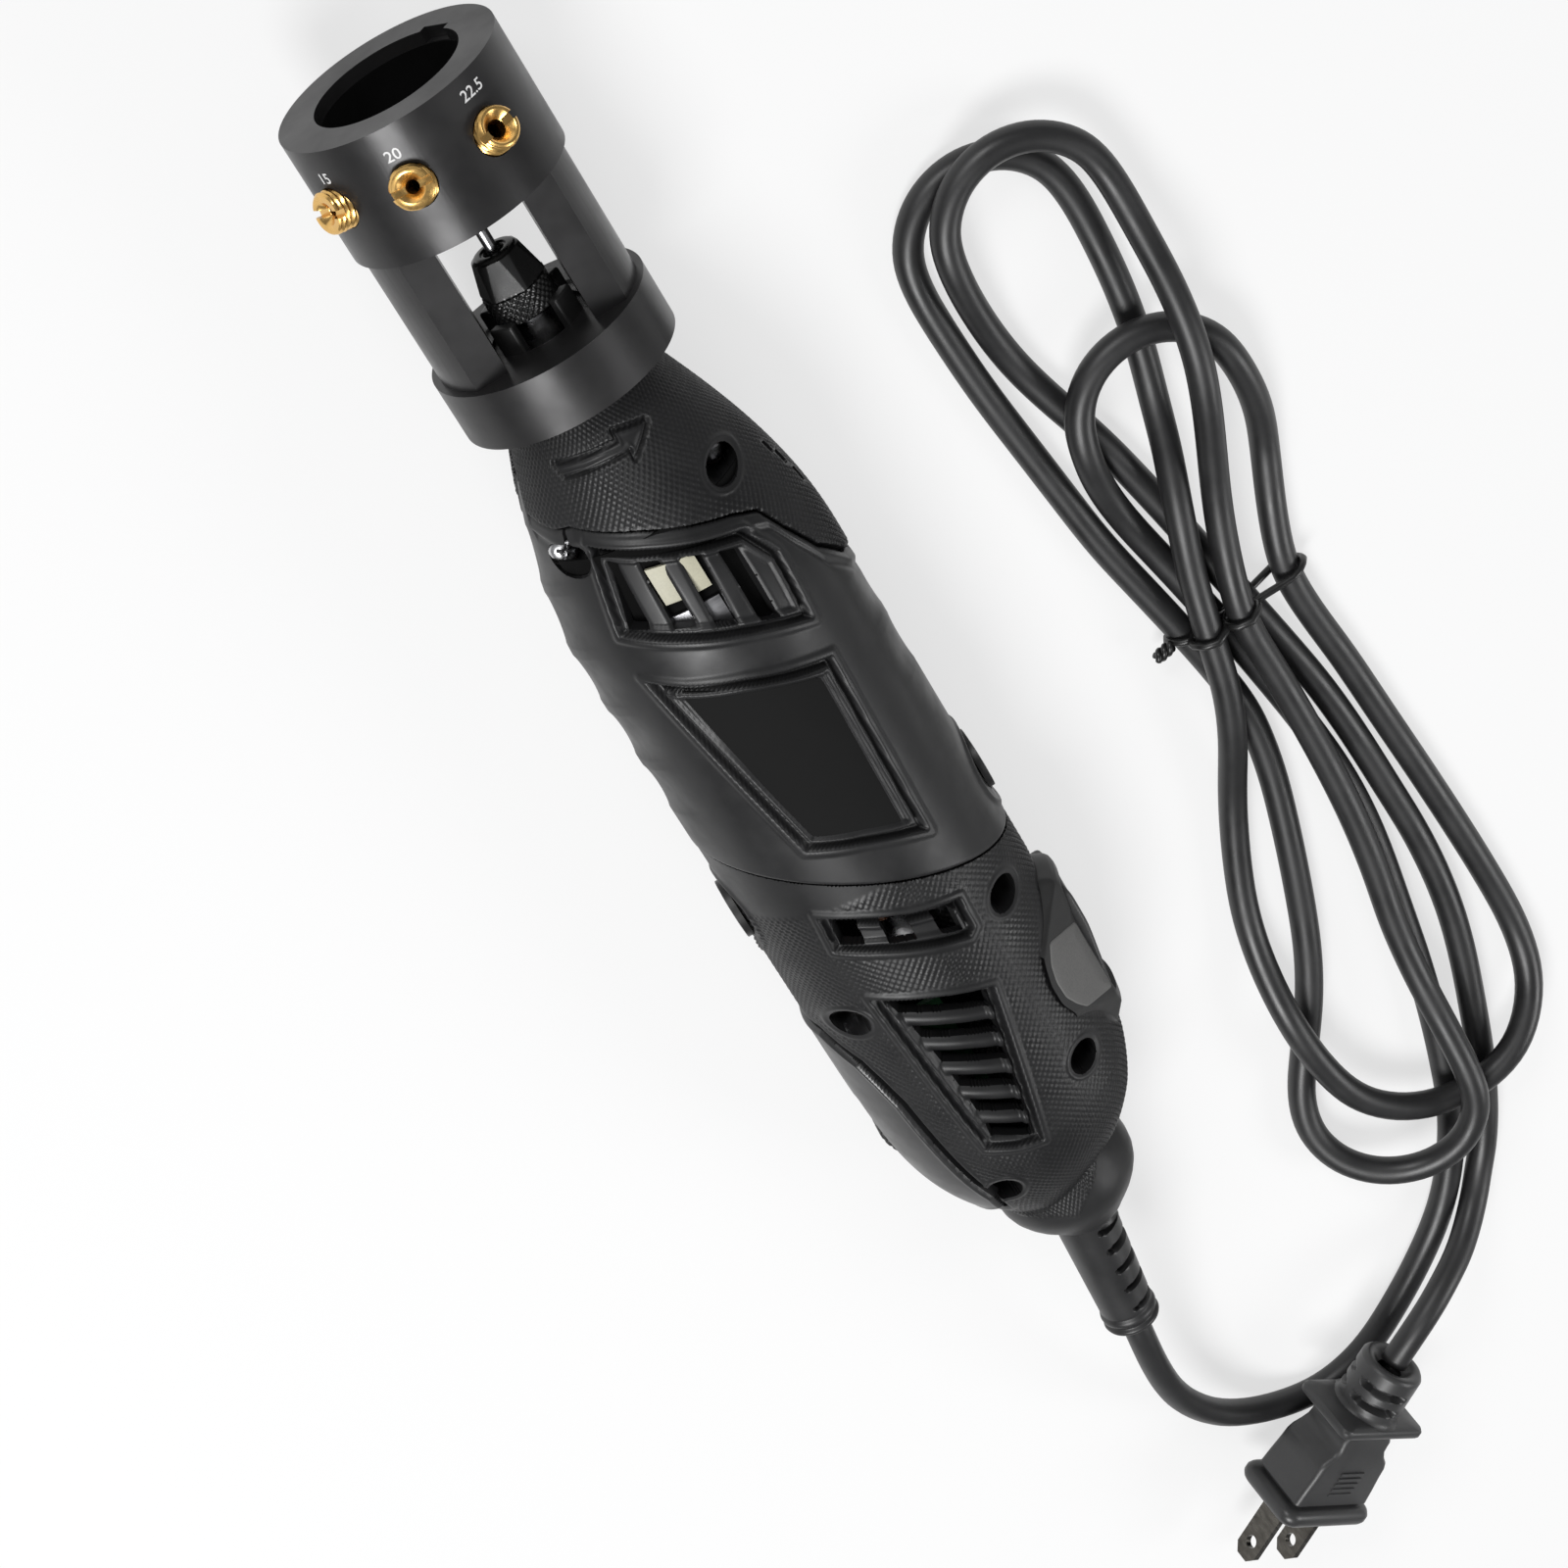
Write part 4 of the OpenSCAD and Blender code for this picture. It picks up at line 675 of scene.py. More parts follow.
def plate_outline():
    angles = [(x, math.degrees(math.acos(h / float(shell_radius(x))))) for x, h in PLATE_HALF]
    return unrolled(angles + [(x, 180 - a) for x, a in reversed(angles)])


PLATE = plate_outline()
WINDOW_HALF = DIAL_R + 0.4
DIAL_WINDOW = unrolled([(DIAL_X - WINDOW_HALF, 83.0), (DIAL_X + WINDOW_HALF, 83.0),
                        (DIAL_X + WINDOW_HALF, 97.0), (DIAL_X - WINDOW_HALF, 97.0)])
ROCKER_X = -64.0
RECESS, RECESS_RUN = 6.5, 10.0


def recess_share(x):
    """0 at the switch's middle and behind it, 1 at the bezel's front."""
    return min(1.0, max(0.0, (x - ROCKER_X) / RECESS_RUN))


HOLES["plate"] = [DIAL_WINDOW]
BEZEL_LOWER = tuple((x - RECESS * recess_share(x), -180 - a) for x, a in BEZEL_LINE[-2:0:-1])
BEZEL = unrolled(BEZEL_LINE + BEZEL_LOWER)


def wrapped(ps):
    """The grid's flat girth with the right flank on the negative side, past the bottom too."""
    return np.where(ps > math.radians(135) * BODY_R, ps - TAU * BODY_R, ps)


def seam_side(px, pa):
    """How far a place is ahead of the joint between nose and middle, along the tool."""
    mirrored = np.where(np.abs(pa) > 90, np.sign(pa) * 180 - pa, pa)
    xs, angles = zip(*sorted(NOSE_SEAM, key=lambda p: p[1]))
    return px - np.interp(mirrored, angles, xs)


def knurl(px, ps):
    """Small raised diamonds in diagonal rows."""
    step = math.pi / (KNURL_CELLS * CELL)
    lump = np.abs(np.sin((px + ps) * step) * np.sin((px - ps) * step))
    return KNURL_HEIGHT * lump ** 0.75


def frame_relief(distance, outer, groove, inner, field):
    """A raised rail, a groove, a second rail and a field inside them, by distance from the outline."""
    places = [-1.3, -0.55, 0.45, 0.95, 1.75, 2.2, 2.95, 3.5]
    return np.interp(-distance, places, [0, outer, outer, groove, groove, inner, inner, field])


def bead(distance, at, width):
    """A soft ridge along a line that lies at a distance from a feature."""
    return np.exp(-((distance - at) / width) ** 2)


def dip(distance, width):
    """1 on a feature's edge, falling off over a width."""
    return np.clip(1 - distance / width, 0, 1) ** 2


def fade_in(distance, width):
    """0 on a feature, 1 from a width away."""
    return np.clip(distance / width, 0, 1)


def well_distance(px, pa, x, y, reach):
    """Distance from a screw well, which is drilled straight down from above."""
    d = np.hypot(px - x, shell_radius(px) * np.sin(np.radians(pa)) - y)
    return np.where(np.abs(pa) > reach, FAR, d)


def past_joint(px, pa):
    """How far a place is ahead of the slanted joint between middle and rear."""
    return px - SEAM_X - SEAM_SLANT * BODY_R * np.sin(np.radians(pa))


# first and last are where a zone's grid ends, along the tool
Zone = namedtuple("Zone", "name knurled proud first last")
ZONES = (Zone("nose", True, 0.55, 35, 92), Zone("body", False, 0.15, -38, 80),
         Zone("rear", True, -0.15, -117, 2))
CONTROL_PLATE = Zone("plate", False, 0.7, -110, -47)
GAP = 0.2


def plate_relief(px, ps):
    edge = np.maximum(0, -outline_distance(px, ps, PLATE) - 0.45)
    window = np.maximum(0, outline_distance(px, ps, DIAL_WINDOW))
    return 0.2 * bead(edge, 0.75, 0.4) - 0.85 * dip(edge, 0.7) - 0.6 * dip(window, 1.2)


def nose_relief(px, ps, pa, upper):
    """Height of the arrow and the rear rim, and how much of the knurl is left around them."""
    ahead = seam_side(px, pa)
    fade = fade_in(ahead, 1.2)
    height = -0.35 * dip(ahead, 0.8)
    for slot in NOSE_SLOTS:
        fade *= fade_in(outline_distance(px, ps, slot), 0.8)
    if upper:
        d = outline_distance(px, ps, ARROW)
        fade *= fade_in(d, 0.9)
        height += np.interp(d, [-1.3, -0.75, -0.35, 0.0, 0.35, 0.8, 1.1], [0.1, 0.3, 0.3, -0.85, -0.85, 0, 0])
    return height, fade


def rear_relief(px, ps, pa, upper):
    """Height of the rear's frames and rims, and how much of the knurl is left around them."""
    plate = outline_distance(px, ps, PLATE)
    height = 0.3 * bead(plate, 1.8, 0.6) - 0.4 * dip(plate - 0.6, 0.8)
    fade = fade_in(plate - 2.2, 0.9) * fade_in(outline_distance(px, wrapped(ps), BEZEL) - 1.2, 1.2)
    fade *= fade_in(SEAM_X - px, 1) * fade_in(px - tail_line(pa) - 0.5, 0.5)
    for outline in (SMALL_FRAME, LOUVRE_FRAME):
        d = outline_distance(px, ps, outline)
        fade *= fade_in(d - 1.0, 0.8)
        height += frame_relief(d, 0.35, -1.75, 0.15, -0.55)
    if upper:
        height -= 0.8 * dip(np.min([outline_distance(px, ps, g) for g in LOUVRE_GAPS], 0), 1.6)
    return height, fade


def body_relief(px, ps, pa, upper):
    """Height of the middle's frames, finger scallops and rolled rims."""
    height = frame_relief(outline_distance(px, ps, FRONT_FRAME), 0.35, -1.75, 0.15, -0.6)
    if upper:
        height += frame_relief(outline_distance(px, ps, LABEL_FRAME), 0.3, -1.6, 0.25, -0.35)
        height += 0.35 * bead(outline_distance(px, ps, LABEL_FIELD), 0.1, 0.45)
        height -= 0.45 * dip(np.min([outline_distance(px, ps, g) for g in FRONT_SLOTS], 0), 0.9)
    for side, depth in ((1, 0.6), (-1, 0.3)):
        local = pa * side - 82
        for middle in SCALLOPS:
            along = px - middle + 0.10 * local
            height -= depth * np.exp(-(local / 22) ** 4) * np.clip(1 - (along / 5.6) ** 2, 0, 1) ** 0.8
    front = -seam_side(px, pa)
    height += 0.3 * bead(front, 2.4, 0.9) - 0.3 * bead(front, 4.2, 0.9) - 0.75 * dip(front, 0.9)
    return height - 0.5 * dip(past_joint(px, pa), 0.8)


def relief(zone, px, pa, upper):
    """Height over the plain shell."""
    ps = np.radians(pa) * BODY_R
    if zone is CONTROL_PLATE:
        return zone.proud + plate_relief(px, ps)
    ring = np.hypot(px - CAP_X, np.radians(np.abs(pa) - 90) * BODY_R)
    height = zone.proud + 0.5 * bead(ring, CAP_RIM + 0.8, 0.75)
    if not zone.knurled:
        return height + body_relief(px, ps, pa, upper)
    rise, fade = (nose_relief if zone.name == "nose" else rear_relief)(px, ps, pa, upper)
    height += rise - 0.2 * np.clip(1 - ring / (CAP_RIM + 2.5), 0, 1)
    for x, y in WELLS if upper else ():
        d = well_distance(px, pa, x, y, 100)
        fade *= fade_in(d - WELL_R - 1.2, 0.7)
        height += 0.28 * bead(d, WELL_R + 0.75, 0.4)
    return height + knurl(px, ps) * fade


def hole_fields(zone, px, pa, upper):
    """Signed distances of a zone's holes, each with the way its wall goes: in, deep in or straight down."""
    ps = np.radians(pa) * BODY_R
    fields = [(outline_distance(px, ps, s), "in") for s in HOLES[zone.name]]
    if zone is CONTROL_PLATE:
        return fields
    if zone.name == "rear":
        fields.append((outline_distance(px, wrapped(ps), BEZEL) + BEZEL_LAP, "in"))
        fields.append((outline_distance(px, ps, PLATE) - PLATE_GAP, "deep"))
    for side in (1, -1):
        ring = np.hypot(px - CAP_X, np.radians(pa * side - 90) * BODY_R)
        fields.append((ring - CAP_RIM + CAP_LIP, "in"))
    for x, y in WELLS if upper else ():
        fields.append((well_distance(px, pa, x, y, 88) - WELL_R, "down"))
    return fields


def zone_field(zone, px, pa):
    """Distance past the zone's own ends, negative inside it."""
    rear = past_joint(px, pa)
    ahead = seam_side(px, pa)
    if zone.name == "nose":
        return np.maximum(0.25 - ahead, px - NOSE_X) + GAP
    if zone.name == "body":
        return np.maximum(ahead, -rear) + GAP
    if zone.name == "plate":
        return outline_distance(px, np.radians(pa) * BODY_R, PLATE) + 0.45
    return np.maximum(rear, tail_line(pa) - px) + GAP


def snapped(px, ps, field, keep):
    """Moves grid points that lie close to a field's edge onto it, so that the edge is a clean line."""
    gx = np.zeros_like(field)
    gs = np.zeros_like(field)
    gx[1:-1], gs[:, 1:-1] = field[2:] - field[:-2], field[:, 2:] - field[:, :-2]
    length = np.hypot(gx, gs)
    near = (np.abs(field) < SNAP) & (length > 1e-6) & ~keep
    length = np.where(length > 1e-6, length, 1)
    px = np.where(near, px - field * gx / length, px)
    ps = np.where(near, ps - field * gs / length, ps)
    return px, ps, keep | near


def walled(flat, quads, fields):
    """A wall along every edge that only one face uses. Gives the points, the faces and the walls' count."""
    edges = np.concatenate([quads[:, [i, (i + 1) % 4]] for i in range(4)])
    key = np.sort(edges, 1)
    _, where, count = np.unique(key[:, 0] * len(flat) + key[:, 1], return_index=True, return_counts=True)
    rim = edges[where[count == 1]]
    ends = np.unique(rim)
    inner = flat[ends].copy()
    spoke = inner * [0, 1, 1] - [0, 0, AXIS]
    spoke /= np.linalg.norm(spoke, axis=1)[:, None]
    depth = np.full(len(ends), WALL)
    down = np.zeros(len(ends), bool)
    for field, way in fields:
        close = np.abs(field.reshape(-1)[ends]) < 1.6 * CELL
        if way == "down":
            down |= close
        if way == "deep":
            depth[close] = DEEP_WALL
    inner -= spoke * depth[:, None]
    inner[down] = flat[ends][down] * [1, 1, 0] + [0, 0, AXIS + WELL_SEAT]
    lookup = np.full(len(flat), -1)
    lookup[ends] = len(flat) + np.arange(len(ends))
    walls = np.stack([rim[:, 1], rim[:, 0], lookup[rim[:, 0]], lookup[rim[:, 1]]], -1)
    return np.concatenate([flat, inner]), np.concatenate([quads, walls]), len(walls)


def mesh_of_arrays(name, points, quads, walls):
    """A mesh of four-cornered faces, the last of which are walls that meet the skin at a crisp edge."""
    used, packed = np.unique(quads, return_inverse=True)
    quads = packed.reshape(-1, 4)
    mesh = bpy.data.meshes.new(name)
    mesh.vertices.add(len(used))
    mesh.vertices.foreach_set("co", (points[used] * MM).astype(np.float32).ravel())
    mesh.loops.add(quads.size)
    mesh.loops.foreach_set("vertex_index", quads[:, ::-1].astype(np.int32).ravel())
    mesh.polygons.add(len(quads))
    mesh.polygons.foreach_set("loop_start", np.arange(0, quads.size, 4, dtype=np.int32))
    mesh.polygons.foreach_set("loop_total", np.full(len(quads), 4, np.int32))
    mesh.update(calc_edges=True)
    mesh.polygons.foreach_set("use_smooth", np.ones(len(quads), bool))
    crisp = set(map(tuple, np.sort(quads[-walls:, :2], 1).tolist()))
    attribute = mesh.attributes.get("sharp_edge") or mesh.attributes.new("sharp_edge", "BOOLEAN", "EDGE")
    attribute.data.foreach_set("value", [tuple(sorted(e.vertices)) in crisp for e in mesh.edges])
    mesh.update()
    return mesh


def build_shell(zone, upper):
    """One half of one zone as a mesh: the grid's faces in it, and walls round every edge."""
    rows = np.arange(math.floor(zone.first / CELL), math.ceil(zone.last / CELL) + 1) * CELL
    half = COLUMNS // 2
    columns = np.arange(-half // 2 - 1, half // 2 + 3) + (0 if upper else half)
    if zone is CONTROL_PLATE:
        columns = np.arange(half // 6, half - half // 6)
    px, ps = np.meshgrid(rows, columns * CELL, indexing="ij")

    def angle(s):
        a = np.degrees(s / BODY_R)
        return a if upper else np.where(a > 180, a - 360, a)

    middle = math.radians(0 if upper else 180) * BODY_R
    split = np.abs(ps - middle) - math.pi / 2 * BODY_R + GAP / 2
    if zone is CONTROL_PLATE:
        split = np.full(px.shape, -FAR)
    holes = hole_fields(zone, px, angle(ps), upper)
    signed = [zone_field(zone, px, angle(ps)), split] + [-field for field, _ in holes]
    px = np.clip(px, TAIL_X - 5, NOSE_X)
    outside = np.any([field > SNAP for field in signed], 0)
    fixed = np.zeros(px.shape, bool)
    for field in signed:
        px, ps, fixed = snapped(px, ps, field, fixed)
    pa = angle(ps)
    turn = np.radians(pa)
    radius = tail_cut(px, pa) + relief(zone, px, pa, upper)
    points = np.stack([px, radius * np.sin(turn), np.maximum(0.0, AXIS + radius * np.cos(turn))], -1)
    quads = grid_faces(np.arange(px.size).reshape(px.shape))
    quads = quads[~outside.reshape(-1)[quads].any(1)]
    name = f"{zone.name}_skin_{'upper' if upper else 'lower'}"
    return mesh_of_arrays(name, *walled(points.reshape(-1, 3), quads, holes))


for zone in ZONES:
    for half_name in ("upper", "lower"):
        finish = (GRIP, "grip_plastic") if zone.knurled else (SMOOTH, "smooth_plastic")
        add(f"{zone.name}_skin_{half_name}", build_shell(zone, half_name == "upper"), *finish,
            replaces=[f"{zone.name}_shell_{half_name}"])
stand_in("control_plate", build_shell(CONTROL_PLATE, True), PLATE_BLACK, "smooth_plastic")


# ---------------------------------------------------------------- sharpening head
OPEN_X, SLEEVE_BACK, DISC_FRONT, DISC_BACK = 157.0, 132.2, 103.9, 92.0
SLEEVE_R, BORE_R, DISC_R, WEB_R, WEB_Y, WEB_Z, THREAD_R = 21.5, 14.4, 21.6, 20.2, 9.0, 13.0, 9.5
GUIDE_X, GUIDE_R, GUIDE_GAP = 145.3, 4.0, 0.12
KEY_HALF, KEY_LEN, KEY_DEPTH, KEY_TURN = 3.1, 2.4, 1.2, -52
# (place, degrees round the sleeve, tilt, bore radius)
GUIDES = (("left", 60, 15, 0.85), ("middle", 15, 20, 1.25), ("right", -30, 22.5, 1.65))
PRINT_LIFT, PRINT_BOLD = 0.04, 0.028
# (number, x, degrees round the sleeve, type size)
PRINTS = (("15", 151.4, 57.0, 3.0), ("20", 151.8, 16.0, 3.0), ("22.5", 153.4, -31.5, 3.0))


def guide_frame(place):
    _, around, tilt, _ = place
    return shift(GUIDE_X, 0, AXIS) @ turned("X", -around) @ shift(0, 0, SLEEVE_R) @ turned("Y", tilt)


def web_mesh(side):
    """A bar between disc and sleeve: flat inside and on its two edges, round outside."""
    reach = math.asin(WEB_Z / WEB_R)
    outline = [(WEB_Y, -WEB_Z), (WEB_Y, WEB_Z)]
    outline += [(WEB_R * math.cos(a), WEB_R * math.sin(a)) for a in np.linspace(reach, -reach, 25)]
    points = [(x, side * y, AXIS + z) for x in (DISC_FRONT - 1, SLEEVE_BACK + 1) for y, z in outline]
    return mesh_of("web", points, ring_faces(2, len(outline)) + end_caps(2, len(outline)))


def make_head():
    sleeve = lathe("sleeve", [(SLEEVE_BACK, BORE_R), (SLEEVE_BACK, SLEEVE_R), (OPEN_X, SLEEVE_R),
                              (OPEN_X, BORE_R)], 160)
    disc = lathe("disc", [(DISC_BACK, THREAD_R), (DISC_BACK, DISC_R), (DISC_FRONT, DISC_R),
                          (DISC_FRONT, 12.2), (DISC_FRONT - 0.5, 12.0), (DISC_FRONT - 0.5, THREAD_R)], 160)
    head = combine(sleeve, [disc, web_mesh(1), web_mesh(-1)], "UNION")
    drill = ((-9, 0.001), (-9, GUIDE_R + GUIDE_GAP), (4, GUIDE_R + GUIDE_GAP), (4, 0.001))
    cuts = [lathe("hole", drill, 48, frame_=guide_frame(place) @ X_TO_Z) for place in GUIDES]
    cuts.append(box_mesh("key", (OPEN_X - KEY_LEN, -KEY_HALF, -BORE_R - KEY_DEPTH),
                         (OPEN_X + 1, KEY_HALF, -BORE_R + 3), ALONG_TOOL @ turned("X", KEY_TURN)))
    add("head_seen", bevelled(combine(head, cuts), 0.42, 3), ANODISED, "black_anodised",
        replaces=["head_sleeve", "head_web_left", "head_web_right", "head_disc"])


def make_bore():
    """A black lining in the sleeve's bore: painted shade for the shadow deep inside it."""
    front, back, outer, inner = OPEN_X - 2.6, SLEEVE_BACK + 0.6, BORE_R + 0.3, BORE_R - 0.04
    wall = lathe("head_bore_painted_shade", [(front, outer), (front, inner), (back, inner), (back, outer)], 128)
    add("head_bore_painted_shade", wall, PAINTED_SHADE, "black_anodised")


def threaded(pitch, depth, crest):
    """A wobble for a lathe that cuts a thread where the radius is at least crest."""
    def wobble(x, r, a):
        return r - depth * (1 - abs(2 * ((x / pitch - a / TAU) % 1) - 1)) ** 0.8 if r >= crest else r
    return wobble


def make_guide(place):
    name, _, _, bore = place
    seat = bore + 1.25
    profile = [(-7.0, bore), (-7.0, GUIDE_R - 0.3)]
    profile += [(-6.8 + 0.11 * i, GUIDE_R) for i in range(86)]
    profile += [(2.75, GUIDE_R - 0.25), (3.0, GUIDE_R - 0.55), (3.0, seat + 0.25), (2.85, seat),
                (1.7, bore + 0.25), (1.4, bore)]
    local = lathe(f"guide_{name}", profile, 72, sharp=35, wobble=threaded(1.05, 0.38, GUIDE_R), frame_=X_TO_Z)
    mesh = combine(local, [box_mesh("slot", (-0.7, -6, 1.5), (0.7, 6, 4))])
    frame_ = guide_frame(place)
    frame_.translation *= MM
    mesh.transform(frame_)
    stand_in(f"guide_{name}", weighted(finish_mesh(mesh, 35)), BRASS, "brass")


def make_print(number, x, around, size):
    """A plain number laid on the sleeve, read across it with its top to the open end."""
    curve = bpy.data.curves.new("number", "FONT")
    curve.body, curve.size, curve.align_x, curve.align_y = number, size, "CENTER", "CENTER"
    curve.resolution_u, curve.offset = 3, PRINT_BOLD
    text = linked("number", curve)
    flat = baked(text)
    bpy.data.objects.remove(text)
    b = bmesh.new()
    b.from_mesh(flat)
    bmesh.ops.triangulate(b, faces=b.faces)
    bmesh.ops.subdivide_edges(b, edges=b.edges, cuts=1)
    for v in b.verts:
        angle = math.radians(around) - v.co.x / SLEEVE_R
        v.co = Vector(round_tool(x + v.co.y, SLEEVE_R + PRINT_LIFT, angle)) * MM
    mesh = bpy.data.meshes.new(f"print_{number.replace('.', '_')}")
    b.to_mesh(mesh)
    b.free()
    add(mesh.name, mesh, PRINT, "black_anodised")


make_head()
make_bore()
for place in GUIDES:
    make_guide(place)
for row in PRINTS:
    make_print(*row)


# ---------------------------------------------------------------- nut and nose collar
NUT_BACK, NUT_STEP, NUT_FRONT, NUT_R = 107.0, 112.6, 120.0, 6.5


def nut_radius(x, r, a):
    """Hexagonal in front, under a cone; a knurled barrel behind with one plain flat."""
    if r < 4.5:
        return r
    degrees = math.degrees(a) + 12
    flat = (5.85 - 0.2 * max(0.0, x - NUT_STEP)) / math.cos(math.radians((degrees % 60) - 30))
    if x >= NUT_STEP:
        return min(r, flat)
    plain = 6.0 / math.cos(math.radians(min(abs((degrees - 290 + 180) % 360 - 180), 40)))
    turn = a * 15
    lift = 0.34 * abs(math.sin(turn + x * 2.1) * math.sin(turn - x * 2.1)) ** 0.8
    return min(r - 0.34 + lift, plain)


def make_nut():
    profile = [(NUT_BACK, 2.6), (NUT_BACK, 5.6), (NUT_BACK + 0.3, 6.2)]
    profile += [(NUT_BACK + 0.5 + 0.11 * i, NUT_R) for i in range(46)]
    profile += [(NUT_STEP - 0.2, 6.0), (NUT_STEP + 0.1, NUT_R)]
    profile += [(NUT_STEP + 0.4 + 0.35 * i, NUT_R - 0.1 * i) for i in range(19)]
    profile += [(NUT_FRONT - 0.55, 4.3), (NUT_FRONT - 0.2, 4.0), (NUT_FRONT, 3.5), (NUT_FRONT, 2.7),
                (NUT_FRONT - 0.3, 2.5), (NUT_FRONT - 0.3, 2.1), (NUT_FRONT, 1.9), (NUT_FRONT - 0.6, 1.5),
                (NUT_FRONT - 3, 1.5), (NUT_FRONT - 5, 2.4)]
    mesh = lathe("collet_nut_seen", profile, 240, sharp=24, wobble=nut_radius)
    stand_in("collet_nut", mesh, NUT_BLACK, "black_steel", "rotor")


def lug_mesh(middle):
    """One of the four lugs that stand up round the spindle, at an angle."""
    half = math.radians(17)
    points, n = [], 9
    for x in (DISC_FRONT - 3, DISC_FRONT + 5.0):
        for r in (7.2, 9.5):
            for k in range(n):
                points.append(round_tool(x, r, math.radians(middle) + half * (2 * k / (n - 1) - 1)))
    faces = []
    for k in range(n - 1):
        a, b, c, d = k, n + k, 2 * n + k, 3 * n + k
        faces += [(a, a + 1, b + 1, b), (c, d, d + 1, c + 1), (a, c, c + 1, a + 1), (b, b + 1, d + 1, d)]
    faces += [(0, n, 3 * n, 2 * n), (n - 1, 3 * n - 1, 4 * n - 1, 2 * n - 1)]
    return bevelled(mesh_of("lug", points, faces), 0.9, 3)


def make_nose_collar():
    ring = lathe("ring", rounded([(87.0, 7.2), (87.0, 11.0), (89.2, 11.0), (89.2, THREAD_R),
                                  (102.6, THREAD_R), (102.6, 7.2)], 0.3))
    mesh = joined("nose_collar_seen", [ring] + [lug_mesh(a) for a in (45, 135, 225, 315)])
    stand_in("nose_collar", mesh, NYLON, "black_nylon")


make_nut()
make_nose_collar()


# ---------------------------------------------------------------- screws, label plate and brush caps
SCREW_SEAT = AXIS + 7.0
# (height, radius) of the shank and the domed head
SCREW = ((-14.0, 0.02), (-14.0, 1.35), (0.0, 1.4), (0.0, 2.7), (0.25, 2.9), (1.0, 2.88), (1.6, 2.6),
    (2.05, 2.0), (2.3, 1.2), (2.38, 0.02))


def make_screws():
    heads = []
    for x, y in WELLS:
        at = shift(x, y, SCREW_SEAT) @ turned("Z", 17 * x)
        head = lathe("head", SCREW, 40, frame_=at @ X_TO_Z)
        arms = [box_mesh("arm", (-1.75, -0.38, 1.2), (1.75, 0.38, 4), at @ turned("Z", a)) for a in (0, 90)]
        heads.append(bevelled(combine(head, arms), 0.07, 1))
    mesh = joined("housing_screws_seen", heads)
    stand_in("housing_screws", mesh, STEEL, "bright_steel")


def patch(name, outline, radius, thick, columns=90, rows=48):
    """A thin plate bent round the tool, from an outline in the grid's flat millimetres."""
    xs = [p[0] for p in outline]
    share = 0.5 - 0.5 * np.cos(np.linspace(0.02, math.pi - 0.02, columns))
    flat = []
    for x in min(xs) + (max(xs) - min(xs)) * share:
        cuts = [ay + (x - ax) * (by - ay) / (bx - ax)
                for (ax, ay), (bx, by) in zip(outline, outline[1:] + outline[:1]) if (ax <= x) != (bx <= x)]
        low, high = min(cuts), max(cuts)
        for k in range(rows):
            flat.append((x, low + (high - low) * (0.5 - 0.5 * math.cos(math.pi * k / (rows - 1)))))
    index = np.arange(columns * rows).reshape(columns, rows)
    faces = grid_faces(index).tolist()
    rim = [int(i) for i in (*index[:, 0], *index[-1, 1:], *index[::-1, -1][1:], *index[0, ::-1][1:-1])]
    for k in range(len(rim)):
        j = (k + 1) % len(rim)
        faces.append((rim[k], rim[j], len(flat) + j, len(flat) + k))
    points = [round_tool(x, radius, s / BODY_R) for x, s in flat]
    points += [round_tool(flat[i][0], radius - thick, flat[i][1] / BODY_R) for i in rim]
    return mesh_of(name, points, faces, 40)


def inset(outline, amount):
    """An outline drawn inwards: each corner moves along the bisector of its two edges."""
    out, n = [], len(outline)
    area = sum(a[0] * b[1] - b[0] * a[1] for a, b in zip(outline, outline[1:] + outline[:1]))
    sign = 1 if area > 0 else -1
    for i in range(n):
        p = Vector(outline[i])
        a, b = (p - Vector(outline[i - 1])).normalized(), (Vector(outline[(i + 1) % n]) - p).normalized()
        normal = Vector((-(a.y + b.y), a.x + b.x)) * sign
        out.append(tuple(p + normal.normalized() * amount / max(0.35, math.cos(a.angle(b) / 2))))
    return out


def make_label_plate():
    outline = rounded(inset(LABEL_FIELD, 0.35), 1.6)
    mesh = patch("badge_plate_seen", outline, BODY_R + 0.03, 0.45)
    stand_in("badge_plate", mesh, BADGE, "badge_black")


# (distance from the tool's axis, radius)
BRUSH_CAP = ((21.0, 0.02), (21.0, 4.0), (26.5, 4.0), (26.6, 6.3), (27.9, 6.3), (28.0, 6.0), (27.95, 4.6),
    (28.1, 4.3), (28.15, 0.02))


def make_brush_cap(side_name, turn):
    at = shift(CAP_X, 0, AXIS) @ turned("Z", turn) @ X_TO_Y
    disc = lathe("disc", BRUSH_CAP, 72, frame_=at)
    slot = box_mesh("slot", (27.0, -5.2, -0.7), (30, 5.2, 0.7), at)
    stand_in(f"brush_cap_{side_name}", bevelled(combine(disc, [slot]), 0.15), NYLON, "black_nylon")


def make_inner_pieces():
    """What shows behind the front slots: a pale fan guard, the edge of the core, and shade behind them."""
    # (name, outline of (x, degrees), radius, thickness, columns, rows, finish, slot)
    for name, outline, radius, thick, columns, rows, finish, slot in (
            ("fan_guard_seen", [(61.6, 17.9), (60.0, -4.2), (52.7, -4.2), (53.3, 17.9)],
             23.7, 0.6, 24, 24, IVORY, "smooth_plastic"),
            ("core_edge_seen", [(50.6, 20.0), (50.4, -4.6), (43.2, -4.6), (44.4, 20.0)],
             23.5, 0.6, 24, 24, CORE, "core_steel"),
            ("inner_shade", [(67.0, 60.0), (67.0, -60.0), (34.0, -60.0), (34.0, 60.0)],
             22.7, 0.4, 12, 48, PAINTED_SHADE, "smooth_plastic")):
        add(name, patch(name, unrolled(outline), radius, thick, columns, rows), finish, slot)


